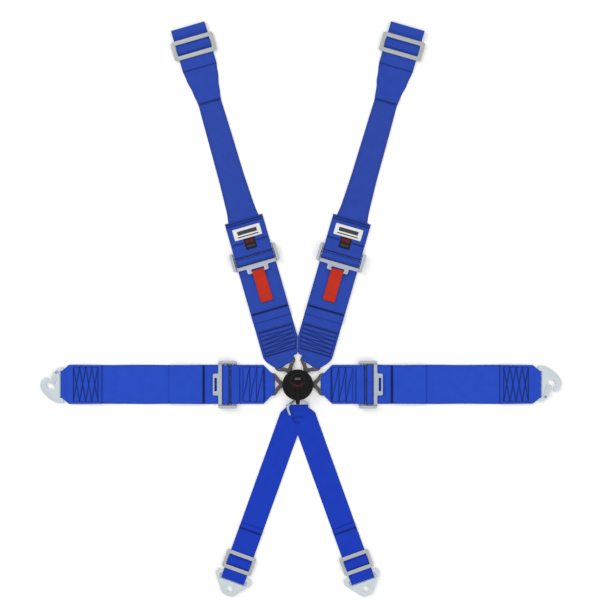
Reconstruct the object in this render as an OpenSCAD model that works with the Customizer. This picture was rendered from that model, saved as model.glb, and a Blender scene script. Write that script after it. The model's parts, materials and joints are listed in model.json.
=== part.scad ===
// Six-point racing harness, laid flat with its cam-lock buckle face up.
// Origin: centre of the buckle's underside. +X right lap belt, +Y shoulder belts, +Z up.
// Lap parts are drawn along +X, shoulder parts and sub legs along their own belt axis,
// and each is then placed on its left or right side.

/* [Webbing] */
// Width of the lap and lower shoulder webbing
wide_web = 76; // [74:1:77]
// Width of the anti-submarine webbing
sub_web = 46.6; // [44:0.2:47]
// Width of the narrow upper shoulder webbing at its middle
narrow_web = 50; // [46:1:54]
// Thickness of one layer of webbing
web_t = 1.5; // [1.4:0.05:1.5]

/* [Buckle] */
// Radius of the turning knob
knob_r = 30; // [29.5:0.5:32]
// Radius of the housing under the knob
housing_r = 28.5; // [28:0.1:28.8]
// Distance of each latch pin from the buckle's centre
pin_circle = 20.5; // [20.5:0.1:21]
// Angle between each shoulder tongue and straight up
shoulder_tongue_lean = 31; // [31:0.5:32]
// Turn of the knob that lifts the latch pins clear
knob_turn = 30; // [30:1:31]
// Lift of the latch pins at full turn
pin_lift = 3.6; // [3.4:0.1:3.7]

/* [Belts] */
// Distance from the buckle's centre to the fold of each belt on its tongue
fold_reach = 44.5; // [44:0.5:46]
// Front edge of the lap adjuster's front bar
lap_adjuster_x = 154.6; // [150:1:165]
// End of the lap belt's loose tail
lap_tail_x = 250; // [230:1:300]
// End fold of the lap belt in its hook
lap_end_x = 461.8; // [455:1:480]
// Extra length of the right lap belt, which is let out a little further
lap_right_extra = 12; // [0:1:15]
// Lean of each shoulder belt from straight up
shoulder_lean = 16.1; // [15:0.1:17]
// Front edge of the shoulder adjuster's front bar, along the belt
shoulder_adjuster_s = 200; // [195:1:210]
// Top edge of the wide label strap, along the belt
label_end_s = 296; // [290:1:300]
// Cross stitch where the narrow belt meets the wrap strap
wrap_start_s = 534.7; // [525:1:540]
// Centre of the shoulder three-bar slide
shoulder_slide_s = 645.7; // [640:1:650]
// Top of the wrap loop
wrap_end_s = 687; // [683:1:690]
// Spread of each anti-submarine leg from straight down
leg_spread = 19.8; // [18:0.1:21]
// Centre of the leg's three-bar slide
leg_slide_s = 337; // [330:1:338]
// End fold of the leg in its end plate
leg_end_s = 376; // [374:1:380]

/* [Hidden] */

$fn = 48;
left = -1;
right = 1;
part_gap = 0.3;      // between parts that move past each other
fit_gap = 0.05;      // radial clearance of a running fit
layer_gap = 0.1;     // between two layers of one strap
tuck = 1;            // depth to which joined shapes run into each other

// Heights of the webbing layers' middles above the ground
floor_gap = 0.2;
layer_1 = floor_gap + web_t / 2;
layer_2 = layer_1 + web_t + layer_gap;
layer_3 = layer_2 + web_t + layer_gap;

// Round bar that a strap folds around, in tongues, hooks and end plates
bar_r = 1.5;
bar_turn_r = bar_r + part_gap + web_t / 2;
bar_reach = bar_turn_r + web_t / 2;
bar_z = layer_1 + bar_turn_r;
plate_t = 3;
plate_z = bar_z - plate_t / 2;
fold_half = 17.2;    // half width of a strap gathered in a tongue
arm_w = 5.2;
arm_past_bar = 2.5;
tongue_bar_x = fold_reach + bar_reach;

// Buckle heights
base_t = 1.6;
slot_top_z = 5.4;
top_floor_z = 5.5;
cavity_z = 7.5;
cavity_top_z = 17.5;
housing_h = 19;
knob_z = housing_h + part_gap;
knob_top_z = 25;
blade_half = 9.25;
channel_half = 10.6;
pin_r = 4;
collar_r = 6.2;
collar_z = 9.5;
collar_t = 1.2;
cam_z = 7.8;
cam_t = 1.4;
cam_r = 16.2;
hub_r = 6;
post_r = 3;
tongue_angles = [0, 90 - shoulder_tongue_lean, 90 + shoulder_tongue_lean, 180, 270];
screw_angles = [45 - shoulder_tongue_lean / 2, 90, 135 + shoulder_tongue_lean / 2, 225, 315];
screw_circle = 25.2;

// Adjuster, drawn from its front bar (x = 0) towards its rear bar, centred across the belt
wall_in = wide_web / 2 + 1.5;
wall_t = 1.8;
wall_out = wall_in + wall_t;
wing_half = 48.5;
wall_len = 37;
wall_h = 12;
grip_u = 15;
grip_r = 5;
grip_turn_r = grip_r + part_gap + web_t / 2;
grip_z = layer_1 + grip_turn_r;
grip_end_r = 2.5;
grip_travel = [0, 1.2];
rear_u = 28.4;
rear_r = 3;
rear_turn_r = rear_r + part_gap + web_t / 2;
rear_z = layer_1 + rear_turn_r;
front_bar = [[0, 3.9], [6.8, 5.9]];
tab_half = 21;
tab_window_half = 13;
tab_rod = [-8.6, 7];
tab_rod_r = 1.6;

// Three-bar slide, drawn centred
slide_window = 7;
slide_mid = 8;
slide_z = layer_2 + web_t / 2 + 0.4;
slide_t = 2.2;

// Hook, along +X
hook_bar_x = lap_end_x - bar_reach;
hook_slot_half = 26;
gate_pivot = [hook_bar_x + 11.5, -24];
gate_z = plate_z + plate_t + part_gap;
gate_t = 1.6;

// Belt axes of the right shoulder belt and the right sub leg
shoulder_root = fold_reach * [sin(shoulder_tongue_lean + 1.3), cos(shoulder_tongue_lean + 1.3)];
centre_gap = 1.5;    // from the middle plane to each shoulder belt's inner edge
fold_s = 92.9;       // where the shoulder belt bends above its stitched root
leg_root = [0, -29.6];
leg_fold_s = 96;
sub_bar_y = -(39.4 + bar_reach);
sub_fold_half = 19.5;
leg_bar_s = leg_end_s - bar_reach;

// Wrap strap that goes round a harness bar
wrap_half = 34;
wrap_turn_r = 3.8;

web_blue = [0.17, 0.31, 0.76];
web_shade = [0.2, 0.3, 0.69];
steel = [0.68, 0.71, 0.74];
gunmetal = [0.36, 0.36, 0.37];
black = [0.1, 0.1, 0.1];

// ---- Plane geometry ----

function unit(v) = v / norm(v);
function turn_left(v) = [-v.y, v.x];
function turned(p, a) = [p.x * cos(a) - p.y * sin(a), p.x * sin(a) + p.y * cos(a)];
function arc(centre, r, from, to, steps = 16) =
  [for (i = [0:steps]) let (a = from + (to - from) * i / steps) centre + r * [cos(a), sin(a)]];

// Outline of a band of thickness t that follows a path
function ribbon(path, t = web_t) =
  let (
    last = len(path) - 1,
    side = [for (i = [0:last]) turn_left(unit(path[min(i + 1, last)] - path[max(i - 1, 0)])) * t / 2]
  )
  concat([for (i = [0:last]) path[i] + side[i]], [for (i = [last:-1:0]) path[i] - side[i]]);

// Corner b between a and c, rounded to radius r
function corner(a, b, c, r) =
  let (
    u = unit(a - b),
    v = unit(c - b),
    half = acos(u * v) / 2,
    centre = b + unit(u + v) * r / sin(half),
    p = b + u * r / tan(half) - centre,
    q = b + v * r / tan(half) - centre,
    turn = 180 - 2 * half,
    steps = max(2, ceil(turn / 12))
  )
  [for (i = [0:steps]) centre + (sin(turn * (1 - i / steps)) * p + sin(turn * i / steps) * q) / sin(turn)];

// Outline through corners given as [x, y, radius]
function rounded(c) =
  let (n = len(c))
  [for (i = [0:n - 1])
    let (a = c[(i + n - 1) % n], b = c[i], d = c[(i + 1) % n])
    each (b.z > 0 ? corner([a.x, a.y], [b.x, b.y], [d.x, d.y], b.z) : [[b.x, b.y]])];

function mirrored_corners(c) =
  concat(c, [for (i = [len(c) - 1:-1:0]) [c[i].x, -c[i].y, c[i].z]]);

// ---- Building blocks ----

// Turns a side view (x, z) into a solid that is w wide across the belt
module across(w) {
  rotate([90, 0, 0]) linear_extrude(w, center = true) children();
}

module slab(z, h) {
  translate([0, 0, z]) linear_extrude(h) children();
}

module strap(path, w, t = web_t) {
  across(w) polygon(ribbon(path, t));
}

// Keeps only what lies within a plan outline
module trimmed(outline) {
  intersection() {
    children();
    slab(-1, 30) polygon(outline);
  }
}

module rod(x, z, r, half) {
  translate([x, 0, z]) rotate([90, 0, 0]) cylinder(r = r, h = 2 * half, center = true);
}

module on_side(side) {
  if (side == right) children();
  else mirror([1, 0, 0]) children();
}

function lap_extra(side) = side == right ? lap_right_extra : 0;

module lap(side) {
  rotate([0, 0, side == right ? 0 : 180]) children();
}

// Hook end of a lap belt
module lap_end(side) {
  lap(side) translate([lap_extra(side), 0, 0]) children();
}

module shoulder(side) {
  on_side(side) translate(shoulder_root) rotate([0, 0, 90 - shoulder_lean]) children();
}

module leg(side) {
  on_side(side) translate(leg_root) rotate([0, 0, leg_spread - 90]) children();
}

module bar_ring(angles, r) {
  for (a = angles) rotate([0, 0, a]) translate([r, 0, 0]) children();
}

// Round wire wound into a coil spring
module coil(r, wire, z_low, z_high, turns) {
  per_turn = 12;
  sides = 6;
  rings = turns * per_turn;
  points = [for (i = [0:rings], j = [0:sides - 1])
    let (a = 360 * i / per_turn, b = 360 * j / sides, out = r + wire * cos(b))
    [out * cos(a), out * sin(a), z_low + wire + (z_high - z_low - 2 * wire) * i / rings + wire * sin(b)]];
  skin = [for (i = [0:rings - 1], j = [0:sides - 1])
    let (k = (j + 1) % sides)
    [i * sides + j, i * sides + k, (i + 1) * sides + k, (i + 1) * sides + j]];
  ends = [[for (j = [sides - 1:-1:0]) j], [for (j = [0:sides - 1]) rings * sides + j]];
  polyhedron(points, concat(skin, ends));
}

// ---- Buckle ----

module channels(z, h) {
  for (a = tongue_angles) {
    rotate([0, 0, a]) translate([0, -channel_half, z]) cube([knob_r * 2, 2 * channel_half, h]);
  }
}

module housing_base() {
  color(gunmetal) {
    difference() {
      cylinder(r = housing_r, h = base_t);
      bar_ring(screw_angles, screw_circle) translate([0, 0, -tuck]) cylinder(r = 1.3, h = 10);
      bar_ring(screw_angles, screw_circle) translate([0, 0, -tuck]) cylinder(r = 2.4, h = 1.1 + tuck);
    }
    difference() {
      translate([0, 0, base_t - 0.4]) cylinder(r = housing_r, h = slot_top_z - base_t + 0.4);
      channels(base_t - tuck, 20);
      bar_ring(screw_angles, screw_circle) translate([0, 0, -tuck]) cylinder(r = 1.3, h = 10);
    }
  }
}

module housing_top() {
  color(black) difference() {
    translate([0, 0, top_floor_z]) cylinder(r = housing_r, h = housing_h - top_floor_z);
    translate([0, 0, cavity_z]) cylinder(r = housing_r - 1.7, h = cavity_top_z - cavity_z);
    cylinder(r = hub_r + part_gap, h = 40);
    bar_ring(tongue_angles, pin_circle) cylinder(r = pin_r + fit_gap, h = cavity_z + 1);
    bar_ring(screw_angles, screw_circle) cylinder(r = 1.3, h = cavity_z - 0.3);
  }
}

module housing_screws() {
  color(steel) bar_ring(screw_angles, screw_circle) {
    translate([0, 0, 0.1]) cylinder(r = 2.2, h = 0.95);
    translate([0, 0, 0.5]) cylinder(r = 1.25, h = 6.5);
  }
}

module pivot_post() {
  color(steel) {
    translate([0, 0, base_t]) cylinder(r = 5, h = 1);
    translate([0, 0, base_t + 0.5]) cylinder(r = post_r, h = 13.5);
  }
}

// Nested steps that climb towards each latch pin and lift its collar as the plate turns
module cam_plate() {
  collar_edge = 12;
  per_mm = knob_turn / pin_lift;
  inset = 0.1;
  color(gunmetal) difference() {
    union() {
      translate([0, 0, cam_z]) cylinder(r = cam_r, h = cam_t);
      translate([0, 0, cam_z + 0.5]) cylinder(r = hub_r, h = knob_z - cam_z - 0.5);
      for (a = tongue_angles, h = [0.9, 2.1, 3.3]) {
        back = collar_edge + per_mm * 3.9 - 4 * inset * h;
        rotate([0, 0, a - back]) translate([0, 0, cam_z + cam_t - 0.5])
          rotate_extrude(angle = back - collar_edge - per_mm * h)
            translate([12 + inset * h, 0]) square([3.9 - 2 * inset * h, h + 0.5]);
      }
    }
    cylinder(r = post_r + fit_gap, h = 16.8);
    translate([0, 0, 16]) cylinder(r = 2, h = 10);
  }
}

module return_spring() {
  color(steel) coil(9.3, 0.7, 9.6, 16.8, 4);
}

module latch_pins() {
  color(steel) bar_ring(tongue_angles, pin_circle) {
    translate([0, 0, base_t + part_gap]) cylinder(r = pin_r, h = collar_z - base_t);
    translate([0, 0, collar_z]) cylinder(r = collar_r, h = collar_t);
    translate([0, 0, collar_z + collar_t / 2]) cylinder(r = 1.6, h = 3);
  }
}

module pin_springs() {
  color(steel) bar_ring(tongue_angles, pin_circle) coil(3, 0.45, collar_z + collar_t, cavity_top_z, 4);
}

module knob_disc() {
  edge = 2.2;
  color(black) difference() {
    rotate_extrude() polygon(rounded([
      [0.01, knob_z, 0], [knob_r, knob_z, 0.8], [knob_r, knob_top_z, edge], [0.01, knob_top_z, 0]
    ]));
    cylinder(r = 2.1, h = 40);
    translate([0, 0, knob_top_z - 2]) cylinder(r = 4, h = 5);
  }
}

module knob_lever() {
  color(black) difference() {
    slab(knob_top_z - 4.5, 8.5) polygon(rounded([
      [-4, -5.2, 1.5], [-4, -37.5, 3], [4, -37.5, 3], [4, -5.2, 1.5]
    ]));
    cylinder(r = knob_r + fit_gap, h = knob_top_z + fit_gap);
  }
}

module knob_badge() {
  color([0.05, 0.05, 0.05]) translate([0, 8.8, knob_top_z + fit_gap]) difference() {
    cylinder(r = 14, h = 0.7);
    translate([0, 0, 0.3]) cylinder(r = 12.6, h = 1);
  }
}

module knob_screw() {
  color(steel) {
    translate([0, 0, 17.6]) cylinder(r = 1.95, h = 6);
    translate([0, 0, knob_top_z - 1.95]) cylinder(r = 3.7, h = 1.8);
  }
}

// ---- Tongues ----

// Plan of a tongue plate along +X: round blade, neck and two arms that end at the strap bar
function tongue_outline() = concat(
  arc([pin_circle, 0], blade_half, 270, 90, 24),
  rounded([
    [31, blade_half, 4],
    [tongue_bar_x - 7, fold_half + arm_w, 5],
    [tongue_bar_x + arm_past_bar, fold_half + arm_w + 0.4, 1.2],
    [tongue_bar_x + arm_past_bar, fold_half + 0.4, 0.6],
    [tongue_bar_x - 6.4, fold_half + 0.4, 3],
    [36, 5.5, 1],
    [36, -5.5, 1],
    [tongue_bar_x - 6.4, -fold_half - 0.4, 3],
    [tongue_bar_x + arm_past_bar, -fold_half - 0.4, 0.6],
    [tongue_bar_x + arm_past_bar, -fold_half - arm_w - 0.4, 1.2],
    [tongue_bar_x - 7, -fold_half - arm_w, 5],
    [31, -blade_half, 4]
  ])
);

module tongue(angle) {
  color(gunmetal) rotate([0, 0, angle]) {
    difference() {
      slab(plate_z, plate_t) polygon(tongue_outline());
      translate([pin_circle, 0, 0]) cylinder(r = pin_r + part_gap, h = 20);
    }
    rod(tongue_bar_x, bar_z, bar_r, fold_half + arm_w - 1.5);
  }
}

// Hooked tongue of the sub strap: one finger lies over the strap
module sub_tongue() {
  finger_z = bar_z + bar_reach + 0.4;
  bar_d = -sub_bar_y;
  in = sub_fold_half + 0.3;
  out = sub_fold_half + 4;
  color(steel) rotate([0, 0, -90]) {
    difference() {
      slab(plate_z, plate_t) polygon(concat(
        arc([pin_circle, 0], blade_half, 270, 90, 24),
        rounded([
          [29, blade_half, 3], [bar_d - 4, out, 4], [bar_d + 2, out, 1],
          [bar_d + 2, in, 0.5], [bar_d - 4.8, in, 2], [34, 7.5, 1],
          [34, -7.5, 1], [bar_d - 4.8, -in, 2], [bar_d + 2, -in, 0.5],
          [bar_d + 2, -out, 1], [bar_d - 4, -out, 4], [29, -blade_half, 3]
        ])
      ));
      translate([pin_circle, 0, 0]) cylinder(r = pin_r + part_gap, h = 20);
    }
    rod(bar_d, bar_z, bar_r, out - 1.5);
    slab(plate_z + 1, finger_z + 2.2 - plate_z - 1) polygon([
      [bar_d - 4, -out + 0.3], [bar_d + 1.5, -out + 0.3], [bar_d + 1.5, -in - 0.2], [bar_d - 4, -in - 0.2]
    ]);
    slab(finger_z, 2.2) polygon(rounded([
      [bar_d - 4, -out + 0.3, 1], [bar_d - 4, -in + 1, 1], [bar_d + 4, -in + 3.4, 4],
      [60.5, -12.2, 1], [59.5, -16.5, 1.5], [bar_d + 4, -out + 0.3, 6]
    ]));
  }
}

// ---- Strap side views ----

// Fold around a bar at x: from layer 2 on one side, round the bar's far side, to layer 1.
// dir is 1 where the strap lies beyond the bar (larger x), -1 where it lies before it.
function bar_fold(x, dir, turn_r = bar_turn_r, z = bar_z, ramp = 12) = concat(
  [[x + dir * ramp, layer_2], [x + dir * ramp * 0.75, layer_2 + 0.4],
   [x + dir * ramp * 0.3, z + turn_r - 0.5]],
  [for (p = arc([0, z], turn_r, 90, 270)) [x + dir * p.x, p.y]]
);

// Wrap around the adjuster's grip bar: in along layer 1, over the bar, out under the front bar on layer 2
function grip_wrap(x, dir) = [for (p = concat(
  arc([grip_u, grip_z], grip_turn_r, -90, 180, 24),
  [[8.85, 5.2], [8.4, 3.95], [7.4, 3.05], [6, 2.62], [4, layer_2]]
)) [x + dir * p.x, p.y]];

// Tail end folded back on itself for a hem
function hem(x, dir, length) = concat(
  [for (p = arc([-1.6, (layer_2 + layer_3) / 2], (layer_3 - layer_2) / 2, -90, 90, 8))
    [x + dir * p.x, p.y]],
  [[x - dir * length, layer_3]]
);

// Pass of a strap over the centre bar of a slide at x; lower and upper layer
slide_rise_low = [[-13, 0], [-8.7, 0.05], [-6.1, 1.6], [-5.25, 3.7], [-4.4, 5.7], [-2.7, 6.4]];
slide_rise_high = [
  [-14, 0], [-11.8, 0.05], [-9.3, 0.55], [-7.9, 1.9], [-7.2, 3.8], [-5.9, 5.8], [-2.7, 6.5]
];
function slide_pass(x, rise, z, dir = 1) = concat(
  [for (p = rise) [x + dir * p.x, z + p.y]],
  [for (i = [len(rise) - 1:-1:0]) [x - dir * rise[i].x, z + rise[i].y]]
);

// ---- Hardware shared by several belts ----

module adjuster() {
  slot_x = [grip_u + grip_travel[0], grip_u + grip_travel[1]];
  color(steel) {
    for (y = [-1, 1]) difference() {
      translate([0, y * (wall_in + wall_t / 2), 0]) across(wall_t) polygon(rounded([
        [0, front_bar[0].y, 1.5], [9, 0.6, 4], [wall_len - 2, 0.6, 4], [wall_len, wall_h, 4], [0, wall_h, 2]
      ]));
      for (x = slot_x) rod(x, grip_z, grip_end_r + part_gap, wing_half);
      translate([slot_x[0], -wing_half, grip_z - grip_end_r - part_gap])
        cube([slot_x[1] - slot_x[0], 2 * wing_half, 2 * (grip_end_r + part_gap)]);
    }
    for (y = [-1, 1]) slab(wall_h - 1.9, 1.8) polygon(rounded([
      [0.6, y * (wall_out - 0.9), 0.2], [wall_len - 1.5, y * (wall_out - 0.9), 0.2],
      [wall_len - 1.5, y * wing_half, 3], [0.6, y * wing_half, 3]
    ]));
    translate([front_bar[0].x, -wall_in - tuck, front_bar[0].y])
      cube([front_bar[1].x, 2 * (wall_in + tuck), front_bar[1].y - front_bar[0].y]);
    rod(rear_u, rear_z, rear_r, wall_out - 0.1);
    for (y = [-1, 1]) translate([0, y * (tab_half + tab_window_half) / 2, 0])
      across(tab_half - tab_window_half) polygon([
        [1, 4.1], [1, 5.7], [tab_rod.x + 0.4, tab_rod.y + 1.3], [tab_rod.x - 0.3, tab_rod.y - 0.9]
      ]);
    rod(tab_rod.x, tab_rod.y, tab_rod_r, tab_half);
  }
}

module grip_bar() {
  color(gunmetal) {
    rod(grip_u, grip_z, grip_r, wall_in - part_gap);
    rod(grip_u, grip_z, grip_end_r, wall_out + 1.6);
    for (y = [-1, 1]) translate([0, y * (wall_out + 1.1), 0]) rod(grip_u, grip_z, 2.85, 0.6);
  }
}

// Three-bar slide with two windows
module slide(half_w, window_half, bar_w) {
  half_len = slide_mid / 2 + slide_window + bar_w;
  color(steel) difference() {
    slab(slide_z, slide_t) polygon(rounded([
      [-half_len, -half_w, 4], [half_len, -half_w, 4], [half_len, half_w, 4], [-half_len, half_w, 4]
    ]));
    for (x = [-1, 1]) translate([x * (slide_mid + slide_window) / 2, 0, slide_z + slide_t / 2])
      cube([slide_window, 2 * window_half, 10], center = true);
  }
}

// ---- Lap belt ----

function lap_inner_path() =
  let (rear_x = lap_adjuster_x - rear_u, join = 90)
  concat(
    [[join + 0.2, layer_2]],
    [for (i = [0, 1]) [rear_x - 22 + 8 * i, layer_2 + 1.6 * i]],
    [for (p = arc([0, rear_z], rear_turn_r, 100, -90, 20)) [rear_x + p.x, p.y]],
    [for (p = arc([0, bar_z], bar_turn_r, 270, 90)) [tongue_bar_x + p.x, p.y]],
    [[tongue_bar_x + 3.6, bar_z + bar_turn_r - 0.5], [tongue_bar_x + 9, layer_2 + 0.4],
     [tongue_bar_x + 12, layer_2], [join, layer_2]]
  );

module lap_inner_strap(side) {
  full_x = tongue_bar_x + 20;
  color(web_blue) lap(side) trimmed(rounded(mirrored_corners([
    [0, -fold_half, 0], [tongue_bar_x + 5.4, -fold_half, 0.5],
    [full_x, -wide_web / 2, 3], [200, -wide_web / 2, 0]
  ]))) strap(lap_inner_path(), wide_web);
}

function lap_outer_path(bar_x) = concat(
  [[bar_x - 77.5, layer_2], [bar_x - 12, layer_2], [bar_x - 9, layer_2 + 0.4],
   [bar_x - 3.6, bar_z + bar_turn_r - 0.5]],
  arc([bar_x, bar_z], bar_turn_r, 90, -90),
  grip_wrap(lap_adjuster_x, -1),
  hem(lap_tail_x, 1, 68.5)
);

module lap_outer_strap(side) {
  bar_x = hook_bar_x + lap_extra(side);
  color(web_blue) lap(side) trimmed(rounded(mirrored_corners([
    [100, -wide_web / 2, 0], [bar_x - 12.5, -wide_web / 2, 2], [bar_x - 3.4, -hook_slot_half, 1],
    [bar_x + 20, -hook_slot_half, 0]
  ]))) strap(lap_outer_path(bar_x), wide_web);
}

module lap_adjuster(side) {
  lap(side) translate([lap_adjuster_x, 0, 0]) rotate([0, 0, 180]) adjuster();
}

module lap_grip_bar(side) {
  lap(side) translate([lap_adjuster_x, 0, 0]) rotate([0, 0, 180]) grip_bar();
}

// Snap hook with a throat that opens to one side
module lap_hook(side) {
  back = hook_bar_x - arm_past_bar;
  slot = hook_slot_half + 0.4;
  slot_end = lap_end_x + 1.6;
  color(steel) lap_end(side) {
    difference() {
      slab(plate_z, plate_t) polygon(rounded([
        [back, 36.5, 1.2], [470, 35, 10], [484, 27.5, 12], [497, 15, 9], [502.4, 2, 9], [498, -11, 8],
        [487.5, -14.5, 2.2], [485.6, -10, 1.2], [490, -1, 4], [487.5, 9, 4.5], [473.5, 9, 3],
        [473.5, -6, 3], [477, -21, 3], [469, -31.5, 6], [back, -34, 1.2],
        [back, -slot, 0.4], [slot_end, -slot, 1], [slot_end, slot, 1], [back, slot, 0.4]
      ]));
      translate([gate_pivot.x, gate_pivot.y, 0]) cylinder(r = 2, h = 20);
    }
    rod(hook_bar_x, bar_z, bar_r, slot + 4);
  }
}

module lap_gate(side) {
  color(steel) lap_end(side) difference() {
    union() {
      slab(gate_z, gate_t) polygon(rounded([
        [464.6, -24, 4], [472.5, -3.2, 3], [473.4, -1.4, 1], [483, -1.4, 2], [483.5, -5, 3], [475, -28, 4.5]
      ]));
      for (i = [0:3]) slab(gate_z + gate_t - 0.3, 0.8) polygon([
        for (p = [[-3.6, -0.7], [3.6, -0.7], [3.6, 0.7], [-3.6, 0.7]])
          [477.6 - 1.5 * i, -4.5 - 3.6 * i] + turned(p, -20)
      ]);
    }
    translate([gate_pivot.x, gate_pivot.y, 0]) cylinder(r = 2 + fit_gap, h = 20);
  }
}

module lap_gate_rivet(side) {
  color(gunmetal) lap_end(side) translate([gate_pivot.x, gate_pivot.y, 0]) {
    translate([0, 0, plate_z - 0.8]) cylinder(r = 3, h = 0.8);
    translate([0, 0, plate_z - 0.4]) cylinder(r = 2, h = gate_z + gate_t + 0.6 - plate_z);
    translate([0, 0, gate_z + gate_t + 0.1]) cylinder(r = 3, h = 0.8);
  }
}

// ---- Shoulder belt ----

function belt_point(s, v) = shoulder_root + turned([s, v], 90 - shoulder_lean);
function tongue_point(x, y) = turned([x, y], 90 - shoulder_tongue_lean);

// Stitched root: the fold follows the tongue, the double layer follows the belt
module shoulder_root_strap(side) {
  half = wide_web / 2;
  start = tongue_bar_x + 5.4;
  double_s = 76;
  inner_s = (centre_gap - belt_point(0, half).x) / (belt_point(1, half).x - belt_point(0, half).x);
  plan = [
    tongue_point(start, -fold_half), tongue_point(start + 6, -fold_half - 5), belt_point(24, -half + 4),
    belt_point(28, -half), belt_point(110, -half), belt_point(110, half), belt_point(inner_s, half),
    [centre_gap, 66], tongue_point(start, fold_half)
  ];
  color(web_shade) on_side(side) {
    rotate([0, 0, 90 - shoulder_tongue_lean])
      strap(concat([[start + 7.5, layer_2]], bar_fold(tongue_bar_x, 1, ramp = 9), [[start + 7.5, layer_1]]),
        2 * fold_half);
    intersection() {
      slab(floor_gap, layer_2 - layer_1 + web_t) polygon(plan);
      translate(shoulder_root) rotate([0, 0, 90 - shoulder_lean]) union() {
        translate([18, -60, 0]) cube([double_s - 18, 120, 10]);
        translate([20, -60, -1]) cube([fold_s - 0.7 - 20, 120, 1 + floor_gap + web_t]);
      }
    }
    intersection() {
      slab(floor_gap, layer_2 - layer_1 + web_t) polygon(plan);
      rotate([0, 0, 90 - shoulder_tongue_lean]) translate([start + 5, -60, -1]) cube([20, 120, 10]);
      translate(shoulder_root) rotate([0, 0, 90 - shoulder_lean])
        translate([-30, -60, -1]) cube([50, 120, 12]);
    }
  }
}

function shoulder_lower_path() = concat(
  [[fold_s + 0.7, layer_1]],
  grip_wrap(shoulder_adjuster_s, 1),
  [for (p = hem(-(fold_s + 0.9), 1, 20)) [-p.x, p.y]]
);

module shoulder_lower_strap(side) {
  color(web_blue) shoulder(side) strap(shoulder_lower_path(), wide_web);
}

module shoulder_adjuster(side) {
  shoulder(side) translate([shoulder_adjuster_s, 0, 0]) adjuster();
}

module shoulder_grip_bar(side) {
  shoulder(side) translate([shoulder_adjuster_s, 0, 0]) grip_bar();
}

module pull_tab(side) {
  tab_t = 1.2;
  turn_r = tab_rod_r + part_gap + tab_t / 2;
  rod_s = shoulder_adjuster_s + tab_rod.x;
  low = tab_rod.y - turn_r;
  end_s = 129;
  color([0.75, 0.18, 0.14]) shoulder(side) strap(concat(
    [[end_s, low], [rod_s - 6, low]],
    [for (p = arc([rod_s, tab_rod.y], turn_r, -90, 90)) p],
    [[rod_s - 4, tab_rod.y + turn_r - 0.6], [rod_s - 11, low + tab_t + 0.5],
     [rod_s - 15, low + tab_t + layer_gap], [end_s, low + tab_t + layer_gap]]
  ), 2 * tab_window_half - 1.4, tab_t);
}

module label_strap(side) {
  rear_s = shoulder_adjuster_s + rear_u;
  color(web_shade) shoulder(side) strap(concat(
    [[label_end_s, layer_2], [rear_s + 18, layer_2], [rear_s + 12.5, layer_2 + 1.6]],
    [for (p = arc([rear_s, rear_z], rear_turn_r, 80, 270, 20)) p],
    [[label_end_s, layer_1]]
  ), wide_web);
}

// Small patch of fabric on a belt, from s to s + length
module patch(z, s, length, half, t) {
  slab(z, t) polygon(rounded([
    [s, -half, 1.2], [s + length, -half, 1.2], [s + length, half, 1.2], [s, half, 1.2]
  ]));
}

module blank_label(side) {
  color([0.9, 0.9, 0.88]) shoulder(side) patch(layer_2 + web_t / 2 + layer_gap, 258.7, 22, 27.5, 0.5);
}

// Woven tag that stands a little proud of the strap just behind the adjuster
module woven_tag(side) {
  color(black) shoulder(side) patch(layer_2 + web_t / 2 + 0.5, 247, 9, 11, 0.9);
}

module narrow_belt(side) {
  color(web_shade) shoulder(side) slab(floor_gap, web_t) polygon([
    [label_end_s + 2.4, -28], [380, -narrow_web / 2], [wrap_start_s + 10, -23],
    [wrap_start_s + 10, 23], [380, narrow_web / 2], [label_end_s + 2.4, 28]
  ]);
}

function wrap_path() =
  let (end_s = wrap_end_s - wrap_turn_r - web_t / 2, top = layer_1 + 2 * wrap_turn_r)
  concat(
    [[wrap_start_s - 6.7, layer_2], [wrap_start_s + 12, layer_2], [wrap_start_s + 17, layer_1 + 0.3],
     [wrap_start_s + 22, layer_1]],
    slide_pass(shoulder_slide_s, slide_rise_low, layer_1),
    arc([end_s, layer_1 + wrap_turn_r], wrap_turn_r, -90, 90),
    [[end_s - 9, top - 0.3], [shoulder_slide_s + 24, layer_2 + 3.2],
     [shoulder_slide_s + 20.5, layer_2 + 0.3]],
    slide_pass(shoulder_slide_s, slide_rise_high, layer_2, -1),
    [[603, layer_2]]
  );

module wrap_strap(side) {
  color(web_shade) shoulder(side) trimmed(rounded(mirrored_corners([
    [500, -23, 0], [wrap_start_s, -23, 3], [604, -wrap_half, 3], [700, -wrap_half, 0]
  ]))) strap(wrap_path(), 2 * wrap_half);
}

module shoulder_slide(side) {
  shoulder(side) translate([shoulder_slide_s, 0, 0]) slide(42.5, wrap_half + 0.6, 8);
}

// ---- Anti-submarine strap ----

module sub_apex_strap() {
  half = sub_web / 2;
  outer = leg_root + turned([leg_fold_s - 0.7, half], leg_spread - 90);
  inner = leg_root + turned([leg_fold_s - 0.7, -half], leg_spread - 90);
  crotch = [0, leg_root.y - half / sin(leg_spread) - 0.2];
  fold_y = sub_bar_y - 5.4;
  color(web_blue) {
    rotate([0, 0, -90]) strap(concat(
      [[-fold_y + 4, layer_2]], bar_fold(-sub_bar_y, 1, ramp = 8), [[-fold_y + 4, layer_1]]
    ), 2 * sub_fold_half);
    slab(floor_gap, layer_2 - layer_1 + web_t) polygon([
      [-sub_fold_half, fold_y - 1], [-32.5, fold_y - 3.6], [-outer.x, outer.y], [-inner.x, inner.y], crotch,
      inner, outer, [32.5, fold_y - 3.6], [sub_fold_half, fold_y - 1]
    ]);
  }
}

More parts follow.
